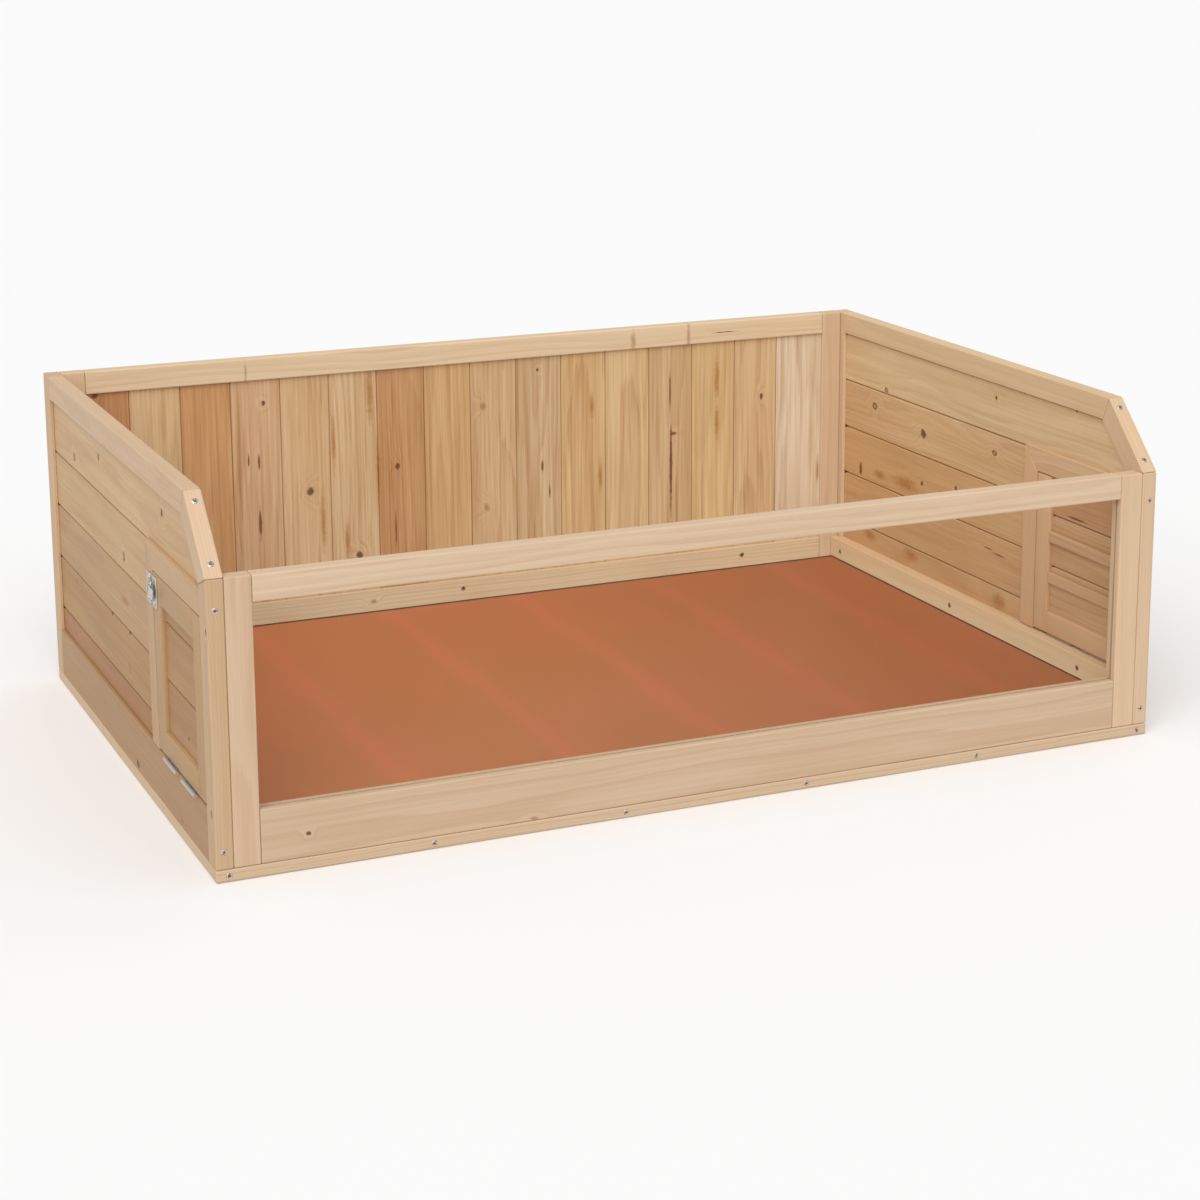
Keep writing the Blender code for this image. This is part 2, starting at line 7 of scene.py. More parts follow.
import logging
import math
import random
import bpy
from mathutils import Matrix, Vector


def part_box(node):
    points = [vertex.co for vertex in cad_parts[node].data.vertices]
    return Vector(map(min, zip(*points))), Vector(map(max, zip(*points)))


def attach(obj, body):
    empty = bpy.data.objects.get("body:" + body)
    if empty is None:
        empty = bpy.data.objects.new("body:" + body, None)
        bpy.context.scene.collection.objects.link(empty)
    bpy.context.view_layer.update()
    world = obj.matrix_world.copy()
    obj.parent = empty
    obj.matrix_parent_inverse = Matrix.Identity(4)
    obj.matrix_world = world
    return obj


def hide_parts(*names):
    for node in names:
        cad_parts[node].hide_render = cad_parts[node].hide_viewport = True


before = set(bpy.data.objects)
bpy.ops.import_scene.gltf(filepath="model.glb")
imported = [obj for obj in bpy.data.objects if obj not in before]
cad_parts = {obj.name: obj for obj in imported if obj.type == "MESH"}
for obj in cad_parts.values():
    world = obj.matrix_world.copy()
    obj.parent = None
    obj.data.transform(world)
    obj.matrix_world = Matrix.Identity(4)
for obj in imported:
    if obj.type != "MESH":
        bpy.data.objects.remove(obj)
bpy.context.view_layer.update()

import zlib
from dataclasses import dataclass, field, replace
from enum import Enum
from typing import Iterable, Sequence

import bmesh
import bpy
from mathutils import Matrix, Vector

LOG = logging.getLogger("rabbit_hutch")
Number = int | float
Feed = Number | Sequence[Number] | bpy.types.NodeSocket
Point2 = tuple[float, float]
Colour = tuple[float, float, float, float]

HALF_WIDTH = 0.75
INNER_HALF_WIDTH = 0.725
HALF_DEPTH = 0.5
FRONT_HEIGHT = 0.425
WHITE: Colour = (1.0, 1.0, 1.0, 1.0)


def srgb(red: int, green: int, blue: int) -> Colour:
    """A display colour as a linear one.

    Args:
        red: Red, from 0 to 255.
        green: Green, from 0 to 255.
        blue: Blue, from 0 to 255.

    Returns:
        The linear colour with an alpha of 1.
    """
    def straighten(level: int) -> float:
        """One display level, from 0 to 255, as a share of full light."""
        share = level / 255
        return share / 12.92 if share <= 0.04045 else ((share + 0.055) / 1.055) ** 2.4

    return straighten(red), straighten(green), straighten(blue), 1.0


class Side(Enum):
    """The hutch's two ends, with their direction along X."""

    LEFT = -1
    RIGHT = 1

    @property
    def word(self) -> str:
        """The side's name as the frame's nodes use it."""
        return self.name.lower()


class Graph:
    """Writes the nodes of a shader or geometry tree in few words."""

    def __init__(self, tree: bpy.types.NodeTree) -> None:
        """Start writing in a tree.

        Args:
            tree: The tree that the nodes go in.
        """
        self.tree = tree

    def feed(self, socket: bpy.types.NodeSocket, value: Feed) -> None:
        """Link a socket to an output, or set its own value."""
        if isinstance(value, bpy.types.NodeSocket):
            self.tree.links.new(value, socket)
        else:
            socket.default_value = value

    def node(self, kind: str, inputs: dict | None = None, **settings: object) -> bpy.types.Node:
        """Add a node.

        Args:
            kind: The node's type.
            inputs: What goes into its sockets, by name or number.
            settings: The node's own properties.

        Returns:
            The new node.
        """
        made = self.tree.nodes.new(kind)
        for name, value in settings.items():
            setattr(made, name, value)
        for key, value in (inputs or {}).items():
            self.feed(made.inputs[key], value)
        return made

    def math(self, operation: str, *values: Feed) -> bpy.types.NodeSocket:
        """One step of arithmetic."""
        return self.node("ShaderNodeMath", dict(enumerate(values)), operation=operation).outputs[0]

    def vector(self, operation: str, *values: Feed) -> bpy.types.NodeSocket:
        """One step of vector arithmetic, with a plain number as the result of a length."""
        made = self.node("ShaderNodeVectorMath", dict(enumerate(values)), operation=operation)
        return made.outputs["Value" if operation in ("LENGTH", "DOT_PRODUCT") else "Vector"]

    def split(self, value: Feed) -> tuple[bpy.types.NodeSocket, ...]:
        """The three parts of a vector."""
        return tuple(self.node("ShaderNodeSeparateXYZ", {0: value}).outputs)

    def join(self, x: Feed, y: Feed, z: Feed) -> bpy.types.NodeSocket:
        """A vector from three numbers."""
        return self.node("ShaderNodeCombineXYZ", {0: x, 1: y, 2: z}).outputs[0]

    def smooth(self, value: Feed, low: Feed, high: Feed, start: Feed = 0.0,
               end: Feed = 1.0) -> bpy.types.NodeSocket:
        """A soft step from start to end while value goes from low to high."""
        inputs = {0: value, 1: low, 2: high, 3: start, 4: end}
        return self.node("ShaderNodeMapRange", inputs, interpolation_type="SMOOTHSTEP").outputs[0]

    def mix(self, factor: Feed, first: Feed, second: Feed,
            mode: str = "MIX") -> bpy.types.NodeSocket:
        """Two colours mixed by a factor."""
        inputs = {0: factor, 6: first, 7: second}
        return self.node("ShaderNodeMix", inputs, data_type="RGBA", blend_type=mode).outputs[2]

    def noise(self, place: Feed, detail: float = 2.0, rough: float = 0.5) -> bpy.types.Node:
        """A noise node whose scale is 1, so that its place sets the size of its grains."""
        inputs = {"Vector": place, "Scale": 1.0, "Detail": detail, "Roughness": rough}
        return self.node("ShaderNodeTexNoise", inputs)

    def scaled(self, place: Feed, x: float, y: float, z: float) -> bpy.types.NodeSocket:
        """A place stretched along its three axes."""
        return self.vector("MULTIPLY", place, (x, y, z))

    def own_place(self) -> bpy.types.NodeSocket:
        """The point's place in its object's own coordinates."""
        return self.node("ShaderNodeTexCoord").outputs["Object"]

    def stored(self, name: str, output: str = "Fac") -> bpy.types.NodeSocket:
        """What the mesh stores under a name."""
        return self.node("ShaderNodeAttribute", attribute_name=name).outputs[output]


def new_material(name: str) -> tuple[bpy.types.Material, Graph, bpy.types.Node]:
    """A new material, with the graph to write it in and its shader."""
    made = bpy.data.materials.new(name)
    made.use_nodes = True
    return made, Graph(made.node_tree), made.node_tree.nodes["Principled BSDF"]


def set_bump(graph: Graph, shader: bpy.types.Node, height: Feed, strength: float,
             reach: float) -> None:
    """Roughen a shader's surface by a height.

    Args:
        graph: The material's graph.
        shader: The shader.
        height: The height, as a share of the reach.
        strength: How strongly the height shows.
        reach: The depth of a height of 1, in metres.
    """
    bump = graph.node("ShaderNodeBump", {"Height": height, "Strength": strength, "Distance": reach})
    graph.feed(shader.inputs["Normal"], bump.outputs[0])


# The figure's noises, as waves per metre along the grain, across the face and through the timber.
WANDER_WAVES = (2.2, 9.0, 9.0)
UNEVEN_WAVES = (4.0, 90.0, 90.0)
STREAK_WAVES = (1.6, 46.0, 46.0)
LINE_WAVES = (5.0, 240.0, 240.0)
FIBRE_WAVES = (22.0, 1300.0, 1300.0)
CLOUD_WAVES = (2.8, 11.0, 11.0)
SEEP_WAVES = (3.4, 105.0, 105.0)
PATCH_WAVES = (1.7, 13.0, 13.0)
RING_UNEVENNESS = 0.8
WEAKEST_RING = 0.2


def spruce_figure() -> bpy.types.NodeTree:
    """The grain of a piece of spruce, worked out in the piece's own space.

    The group takes a place in metres with x along the grain, y across the piece's face and z
    through its thickness. It gives the growth rings, the wide and fine streaks, the fibres, the
    soft clouds and the thin resin streaks. Bulge pushes the rings aside, as a knot does. Wander
    is how far the rings stray from straight.

    Returns:
        The shader group.
    """
    name = "spruce_figure"
    found = bpy.data.node_groups.get(name)
    if found:
        return found
    tree = bpy.data.node_groups.new(name, "ShaderNodeTree")
    for label, kind in (("Place", "NodeSocketVector"), ("Pith", "NodeSocketVector"),
                        ("Ring Width", "NodeSocketFloat"), ("Bulge", "NodeSocketFloat"),
                        ("Wander", "NodeSocketFloat")):
        tree.interface.new_socket(label, in_out="INPUT", socket_type=kind)
    for label in ("Ring", "Streak", "Line", "Fibre", "Cloud", "Resin"):
        tree.interface.new_socket(label, in_out="OUTPUT", socket_type="NodeSocketFloat")
    graph = Graph(tree)
    given = graph.node("NodeGroupInput").outputs
    place = given["Place"]

    wander = graph.noise(graph.scaled(place, *WANDER_WAVES), 1.5)
    sway = graph.vector("SUBTRACT", wander.outputs["Color"], (0.5, 0.5, 0.5))
    drift = graph.vector("MULTIPLY", sway, graph.join(0.0, given["Wander"], given["Wander"]))
    cross = graph.vector("ADD", graph.vector("ADD", place, drift), given["Pith"])
    _, cross_y, cross_z = graph.split(cross)
    reach = graph.vector("LENGTH", graph.join(0.0, cross_y, cross_z))
    phase = graph.math("DIVIDE", graph.math("ADD", reach, given["Bulge"]), given["Ring Width"])
    uneven = graph.noise(graph.scaled(place, *UNEVEN_WAVES), 2.0).outputs["Fac"]
    phase = graph.math("ADD", phase, graph.math("MULTIPLY", uneven, RING_UNEVENNESS))
    share = graph.math("FRACT", phase)
    late = graph.math("MULTIPLY", graph.smooth(share, 0.10, 0.88), graph.smooth(share, 1.0, 0.90))
    strength = graph.node("ShaderNodeTexWhiteNoise", {"W": graph.math("FLOOR", phase)},
                          noise_dimensions="1D").outputs["Value"]
    ring_strength = graph.math("MULTIPLY_ADD", strength, 1 - WEAKEST_RING, WEAKEST_RING)
    ring = graph.math("MULTIPLY", late, ring_strength)

    streak = graph.noise(graph.scaled(place, *STREAK_WAVES), 2.0, 0.55).outputs["Fac"]
    line = graph.noise(graph.scaled(place, *LINE_WAVES), 2.0, 0.6).outputs["Fac"]
    fibre = graph.noise(graph.scaled(place, *FIBRE_WAVES), 2.0, 0.7).outputs["Fac"]
    cloud = graph.noise(graph.scaled(place, *CLOUD_WAVES), 3.0, 0.55).outputs["Fac"]
    seep = graph.noise(graph.scaled(place, *SEEP_WAVES), 2.5, 0.6).outputs["Fac"]
    patch = graph.noise(graph.scaled(place, *PATCH_WAVES), 1.0).outputs["Fac"]
    resin = graph.math("MULTIPLY", graph.smooth(seep, 0.56, 0.72), graph.smooth(patch, 0.46, 0.62))
    out = graph.node("NodeGroupOutput")
    for label, value in (("Ring", ring), ("Streak", streak), ("Line", line), ("Fibre", fibre),
                         ("Cloud", cloud), ("Resin", resin)):
        graph.feed(out.inputs[label], value)
    return tree


@dataclass(frozen=True)
class MarkLook:
    """How one kind of mark in the wood looks, from its middle (reach 0) to its edge (reach 1)."""

    colour: Colour
    strength: float
    full_at: float
    gone_at: float
    bulge: float = 0.0
    heart: float = 1.0


class MarkKind(Enum):
    """The kinds of marks in the wood."""

    KNOT = MarkLook(srgb(98, 62, 40), 0.88, 0.60, 1.20, 1.4)
    RIMMED_KNOT = MarkLook(srgb(104, 66, 40), 0.88, 0.80, 1.20, 1.6, 0.50)
    PALE_KNOT = MarkLook(srgb(156, 104, 66), 0.66, 0.30, 1.30, 1.8)
    PITCH = MarkLook(srgb(116, 66, 36), 0.90, 0.50, 1.25, 0.5)
    STAIN = MarkLook(srgb(170, 110, 46), 0.78, 0.05, 1.45)
    FINGER_JOINT = MarkLook(srgb(158, 108, 68), 0.55, 0.10, 1.30)


@dataclass(frozen=True)
class Mark:
    """A mark in the wood, by its middle and its half sizes, along and across the grain."""

    along: float
    across: float
    long: float
    wide: float
    kind: MarkKind = MarkKind.KNOT


@dataclass(frozen=True)
class Spruce:
    """Planed spruce: its colour, and how strongly each part of its figure shows."""

    base: Colour = srgb(219, 190, 158)
    pale: tuple[float, float, float] = (1.07, 1.09, 1.11)
    deep: tuple[float, float, float] = (0.78, 0.68, 0.56)
    ring_width: float = 0.0046
    ring: float = 0.30
    streak: float = 0.34
    line: float = 0.50
    cloud: float = 0.26
    fibre: float = 0.20
    wander: float = 0.016
    resin: float = 0.0
    resin_colour: Colour = srgb(164, 106, 56)
    roughness: float = 0.50
    shine: float = 0.30
    bump: float = 0.20
    bump_reach: float = 0.0006
    mid_shade: float = 0.36
    board_slide: float = 40.0
    board_drop: float = 7.0
    board_lean: float = 0.07
    pith_depth: Point2 = (0.03, 0.12)
    knot_reach: float = 4.5
    ring_depth: float = 0.35
    knot_depth: float = 0.8
    # Darkening below the boards' faces: partly dirt in the joints, partly painted shade in the vees
    # and chips.
    joint_colour: Colour = srgb(104, 66, 38)
    joint_span: Point2 = (0.0006, 0.0030)
    joint_strength: float = 0.85
    edge_waves: float = 130.0
    raggedness: float = 0.9

    def material(self, name: str, rows: Sequence[Vector], centre: Vector,
                 marks: Sequence[Mark] = (), faces: Point2 | None = None,
                 by_board: bool = False) -> bpy.types.Material:
        """Spruce for one piece, its grain along the piece.

        Args:
            name: The material's name, which also sets its random start.
            rows: Unit vectors along the grain, across the face and through the thickness.
            centre: The piece's middle.
            marks: Knots and other marks, placed by the object's own coordinates.
            faces: Where the two faces of a row of boards lie, so that the wood below them, in the
                vees, the tongues and grooves and the chips, is darkened: partly dirt in the joints,
                partly painted shade.
            by_board: Whether each board has its own colour and grain.

        Returns:
            The new material.
        """
        made, graph, shader = new_material(name)
        start = random.Random(zlib.crc32(name.encode()))
        turn = Matrix(rows)
        shift = Vector((start.uniform(2, 30), 0, 0)) - turn @ centre
        world = graph.own_place()
        place = graph.node("ShaderNodeMapping", {"Vector": world, "Location": shift,
                                                 "Rotation": turn.to_euler()}).outputs[0]
        pith: Feed = (0.0, start.uniform(-0.03, 0.03),
                      start.choice((-1, 1)) * start.uniform(0.05, 0.14))
        base: Feed = self.base
        if by_board:
            board = graph.stored("board")
            chance = graph.node("ShaderNodeTexWhiteNoise",
                                {"W": graph.math("ADD", board, start.uniform(0, 90))},
                                noise_dimensions="1D").outputs["Color"]
            first, second, third = graph.split(chance)
            slide = graph.math("MULTIPLY", first, self.board_slide)
            drop = graph.math("MULTIPLY", third, self.board_drop)
            place = graph.vector("ADD", place, graph.join(slide, drop, 0.0))
            board_middle = graph.stored("board_middle")
            away = graph.math("ADD", graph.math("ADD", board_middle, shift[1]), drop)
            aside = graph.math("MULTIPLY_ADD", second, self.board_lean, -self.board_lean / 2)
            nearest, spread = self.pith_depth
            pith = graph.join(0.0, graph.math("SUBTRACT", aside, away),
                              graph.math("MULTIPLY_ADD", first, spread, nearest))
            # Each board's stored colour, which on the side and door boards holds painted shade.
            base = graph.stored("wood_colour", "Color")
        touches = self.reaches(graph, world, rows, marks)
        bulge: Feed = 0.0
        for mark, reach in zip(marks, touches):
            if mark.kind.value.bulge:
                push = graph.smooth(reach, self.knot_reach, 0.3, 0.0,
                                    mark.wide * mark.kind.value.bulge)
                bulge = graph.math("ADD", bulge, push)
        figure = graph.node("ShaderNodeGroup", node_tree=spruce_figure())
        for label, value in (("Place", place), ("Pith", pith), ("Ring Width", self.ring_width),
                             ("Bulge", bulge), ("Wander", self.wander)):
            graph.feed(figure.inputs[label], value)
        out = figure.outputs
        shade: Feed = graph.math("MULTIPLY_ADD", out["Ring"], self.ring, self.mid_shade)
        for label, amount in (("Streak", self.streak), ("Line", self.line), ("Cloud", self.cloud),
                              ("Fibre", self.fibre)):
            sway = graph.math("MULTIPLY_ADD", out[label], amount, -amount / 2)
            shade = graph.math("ADD", shade, sway)
        shade = graph.node("ShaderNodeClamp", {0: shade}).outputs[0]
        tint = graph.mix(shade, (*self.pale, 1.0), (*self.deep, 1.0))
        colour = graph.mix(1.0, base, tint, "MULTIPLY")
        if self.resin:
            soaked = graph.math("MULTIPLY", out["Resin"], self.resin)
            colour = graph.mix(soaked, colour, self.resin_colour)
        hollow: Feed = graph.math("MULTIPLY", out["Ring"], -self.ring_depth)
        for mark, reach in zip(marks, touches):
            look = mark.kind.value
            amount = graph.smooth(reach, look.gone_at, look.full_at, 0.0, look.strength)
            if look.heart < 1.0:
                inside = graph.smooth(reach, 0.30, 0.75, look.heart, 1.0)
                amount = graph.math("MULTIPLY", amount, inside)
            colour = graph.mix(amount, colour, look.colour)
            if look.bulge:
                sunk = graph.math("MULTIPLY", amount, self.knot_depth)
                hollow = graph.math("SUBTRACT", hollow, sunk)
        # Dirt and painted shade: the wood below either face, in the vees and chips, is darkened by
        # its depth.
        if faces:
            level = graph.vector("DOT_PRODUCT", world, rows[2])
            deep = graph.math("MINIMUM", graph.math("SUBTRACT", level, faces[0]),
                              graph.math("SUBTRACT", faces[1], level))
            joint = graph.smooth(deep, *self.joint_span, 0.0, self.joint_strength)
            colour = graph.mix(joint, colour, self.joint_colour)
        graph.feed(shader.inputs["Base Color"], colour)
        rough = graph.math("MULTIPLY_ADD", out["Ring"], -0.06, self.roughness)
        rough = graph.math("MULTIPLY_ADD", out["Fibre"], 0.10, rough)
        graph.feed(shader.inputs["Roughness"], rough)
        height = graph.math("ADD", hollow, out["Fibre"])
        set_bump(graph, shader, height, self.bump, self.bump_reach)
        shader.inputs["Specular IOR Level"].default_value = self.shine
        return made

    def reaches(self, graph: Graph, world: Feed, rows: Sequence[Vector],
                marks: Sequence[Mark]) -> list[bpy.types.NodeSocket]:
        """How far a point is from each mark's middle, where 1 is the mark's edge.

        Args:
            graph: The material's graph.
            world: The point in the object's own coordinates.
            rows: Unit vectors along the grain, across the face and through the thickness.
            marks: The marks.

        Returns:
            One output for each mark.
        """
        if not marks:
            return []
        edges = graph.scaled(world, self.edge_waves, self.edge_waves, self.edge_waves)
        ragged = graph.noise(edges, 2.0).outputs["Fac"]
        shake = graph.math("MULTIPLY_ADD", ragged, self.raggedness, -self.raggedness / 2)
        along = graph.vector("DOT_PRODUCT", world, rows[0])
        across = graph.vector("DOT_PRODUCT", world, rows[1])
        point = graph.join(along, across, 0.0)
        found = []
        for mark in marks:
            offset = graph.vector("SUBTRACT", point, (mark.along, mark.across, 0.0))
            share = graph.vector("DIVIDE", offset, (mark.long, mark.wide, 1.0))
            found.append(graph.math("ADD", graph.vector("LENGTH", share), shake))
        return found


@dataclass(frozen=True)
class FloorFilm:
    """The floor sheet's smooth brown film, with the bearers below showing through softly."""

    base: Colour = srgb(180, 112, 68)
    light: Colour = srgb(198, 114, 78)
    # Painted shade: the dark colour of the line where the film meets the walls.
    gap: Colour = srgb(60, 30, 18)
    # Painted light and shade across the floor: the film is made lighter at the left and darker at
    # the right.
    left_tone: tuple[float, float, float] = (1.14, 1.20, 1.16)
    right_tone: tuple[float, float, float] = (0.78, 0.76, 0.70)
    # How many times wider the painted shade line is along the back wall.
    back_line: float = 3.5
    stripe_pitch: float = 0.250
    stripe_start: float = -0.404
    stripe_half: float = 0.035
    stripe_share: float = 0.55
    cloud_share: float = 1.2
    grain_share: float = 0.25
    shine: float = 0.30
    bump: float = 0.15
    bump_reach: float = 0.0005

    def material(self, half_x: float, half_y: float) -> bpy.types.Material:
        """The film, with a painted shade line where the sheet's edge meets the walls, wider at the
        back, and painted light and shade from its left end to its right.

        Args:
            half_x: Half the width of the floor that shows.
            half_y: Half the depth of the floor that shows.

        Returns:
            The new material.
        """
        made, graph, shader = new_material("floor_film")
        place = graph.own_place()
        x, y, _ = graph.split(place)
        cloud = graph.noise(graph.scaled(place, 5.0, 3.0, 5.0), 3.0).outputs["Fac"]
        wave = graph.math("ADD", x, graph.math("MULTIPLY", cloud, 0.05))
        from_start = graph.math("SUBTRACT", wave, self.stripe_start)
        band = graph.math("PINGPONG", from_start, self.stripe_pitch / 2)
        stripe = graph.smooth(band, self.stripe_half, 0.0)
        grain = graph.noise(graph.scaled(place, 500.0, 90.0, 500.0), 2.0).outputs["Fac"]
        amount = graph.math("MULTIPLY", stripe, self.stripe_share)
        for sway, share in ((cloud, self.cloud_share), (grain, self.grain_share)):
            part = graph.math("MULTIPLY", graph.math("SUBTRACT", sway, 0.5), share)
            amount = graph.math("ADD", amount, part)
        colour = graph.mix(graph.smooth(amount, -0.6, 0.9), self.base, self.light)
        # Painted light and shade: the colour is multiplied from lighter at the left end to darker
        # at the right end.
        tone = graph.mix(graph.smooth(x, -HALF_WIDTH, HALF_WIDTH), (*self.left_tone, 1.0),
                         (*self.right_tone, 1.0))
        colour = graph.mix(1.0, colour, tone, "MULTIPLY")
        # Painted shade: a dark line where the film meets the walls, widened at the back.
        inset_x = graph.math("SUBTRACT", half_x, graph.math("ABSOLUTE", x))
        back = graph.math("DIVIDE", graph.math("SUBTRACT", half_y, y), self.back_line)
        inset_y = graph.math("MINIMUM", back, graph.math("ADD", half_y, y))
        inset = graph.math("MINIMUM", inset_x, inset_y)
        wobble = graph.noise(graph.scaled(place, 22.0, 22.0, 22.0), 2.0).outputs["Fac"]
        line = graph.smooth(inset, graph.math("MULTIPLY_ADD", wobble, 0.0030, 0.0026), 0.0012)
        graph.feed(shader.inputs["Base Color"], graph.mix(line, colour, self.gap))
        graph.feed(shader.inputs["Roughness"], graph.math("MULTIPLY_ADD", cloud, 0.16, 0.42))
        height = graph.math("ADD", graph.math("MULTIPLY", grain, 0.15),
                            graph.math("MULTIPLY", line, -2.0))
        set_bump(graph, shader, height, self.bump, self.bump_reach)
        shader.inputs["Specular IOR Level"].default_value = self.shine
        return made


@dataclass(frozen=True)
class ClearPane:
    """Clear acrylic sheet, with a faint tint and a little of the room's light on its face."""

    tint: Colour = (0.988, 0.992, 0.990, 1.0)
    ior: float = 1.49
    gloss_share: float = 0.03

    def material(self) -> bpy.types.Material:
        """The pane's material: clear, with faint smears in its gloss that grow at low angles."""
        made, graph, unused = new_material("clear_pane")
        made.node_tree.nodes.remove(unused)
        place = graph.own_place()
        smear = graph.noise(graph.scaled(place, 9.0, 9.0, 4.0), 3.0).outputs["Fac"]
        through = graph.node("ShaderNodeBsdfTransparent", {"Color": self.tint})
        rough = graph.math("MULTIPLY_ADD", smear, 0.10, 0.02)
        gloss = graph.node("ShaderNodeBsdfGlossy", {"Color": WHITE, "Roughness": rough})
        edge = graph.node("ShaderNodeFresnel", {"IOR": self.ior}).outputs[0]
        strength = graph.math("MULTIPLY_ADD", smear, 0.06, self.gloss_share)
        share = graph.math("MULTIPLY", edge, strength)
        shown = graph.node("ShaderNodeMixShader",
                           {0: share, 1: through.outputs[0], 2: gloss.outputs[0]})
        output = made.node_tree.nodes["Material Output"]
        graph.feed(output.inputs["Surface"], shown.outputs[0])
        return made


@dataclass(frozen=True)
class Plating:
    """Plated steel, dulled in its low places and bright on its edges."""

    name: str
    bright: Colour = srgb(156, 148, 136)
    dull: Colour = srgb(52, 45, 38)
    roughness: float = 0.24

    def material(self) -> bpy.types.Material:
        """The plating's material, made once."""
        found = bpy.data.materials.get(self.name)
        if found:
            return found
        made, graph, shader = new_material(self.name)
        place = graph.own_place()
        stain = graph.noise(graph.scaled(place, 420.0, 420.0, 420.0), 4.0, 0.6).outputs["Fac"]
        brushed = graph.noise(graph.scaled(place, 900.0, 900.0, 5200.0), 2.0).outputs["Fac"]
        low = graph.stored("recess")
        dirt = graph.math("MAXIMUM", graph.smooth(stain, 0.46, 0.66), low)
        graph.feed(shader.inputs["Base Color"], graph.mix(dirt, self.bright, self.dull))
        rough = graph.math("ADD", graph.math("MULTIPLY", stain, 0.22), self.roughness - 0.11)
        graph.feed(shader.inputs["Roughness"], graph.math("MULTIPLY_ADD", brushed, 0.10, rough))
        set_bump(graph, shader, brushed, 0.08, 0.0002)
        shader.inputs["Metallic"].default_value = 1.0
        return made


FRAME_SPRUCE = Spruce()
BASE_SPRUCE = Spruce(ring=0.40)
BOARD_SPRUCE = Spruce(deep=(0.66, 0.50, 0.36), ring_width=0.0042, ring=0.30, streak=0.85,
                      line=1.00, cloud=0.50, wander=0.024, resin=0.62)
SIDE_BOARD_SPRUCE = Spruce(deep=(0.70, 0.56, 0.42), ring_width=0.0050, ring=0.26, streak=0.62,
                           line=0.50, cloud=0.50, wander=0.026, resin=0.26)
NICKEL = Plating("nickel_steel")
ZINC = Plating("zinc_screw_steel", bright=srgb(214, 204, 190), dull=srgb(104, 92, 78),
               roughness=0.38)

RIMMED, SOFT, FINGER = MarkKind.RIMMED_KNOT, MarkKind.PALE_KNOT, MarkKind.FINGER_JOINT
PITCH, STAIN = MarkKind.PITCH, MarkKind.STAIN

# How each timber's colour differs from its finish: a factor for red, green and blue. Partly the
# timber's own tone and partly painted light and shade: the left side's timbers and its door are
# darker, the bottom rail most, because that face is in shade; the front bottom rail is darker than
# the top rails; inner timbers such as the right cleat and the back top rail are made lighter.
TONES_AND_SHADE: dict[str, tuple[float, float, float]] = {
    "front_bottom_rail": (0.92, 0.92, 0.94), "front_top_rail": (1.03, 1.06, 1.12),
    "front_left_stile": (0.98, 0.97, 1.00), "front_right_stile": (1.01, 1.00, 1.00),
    "back_top_rail": (1.08, 1.13, 1.14), "back_bottom_rail": (1.02, 1.02, 1.00),
    "base_front_batten": (0.96, 0.97, 0.99), "left_top_rail": (0.97, 0.96, 0.93),
    "left_rear_stile": (0.90, 0.86, 0.80), "left_front_stile": (0.87, 0.82, 0.75),
    "left_bottom_rail": (0.65, 0.54, 0.41), "left_door_jamb": (0.80, 0.74, 0.63),
    "left_door_lintel": (0.86, 0.80, 0.70), "left_door": (0.72, 0.64, 0.49),
    "right_door_jamb": (0.98, 0.85, 0.74), "right_door_lintel": (1.00, 0.94, 0.86),
    "right_door": (0.97, 0.84, 0.72), "right_top_rail": (1.06, 1.08, 1.00),
    "right_floor_cleat": (1.10, 1.08, 0.98), "left_floor_cleat": (1.02, 1.02, 0.98),
    "right_rear_stile": (1.02, 1.01, 0.97), "right_door_rung_1": (0.92, 0.80, 0.68),
    "right_door_rung_2": (0.92, 0.80, 0.68), "left_door_rung_1": (0.90, 0.80, 0.68),
    "left_door_rung_2": (0.90, 0.80, 0.68),
}

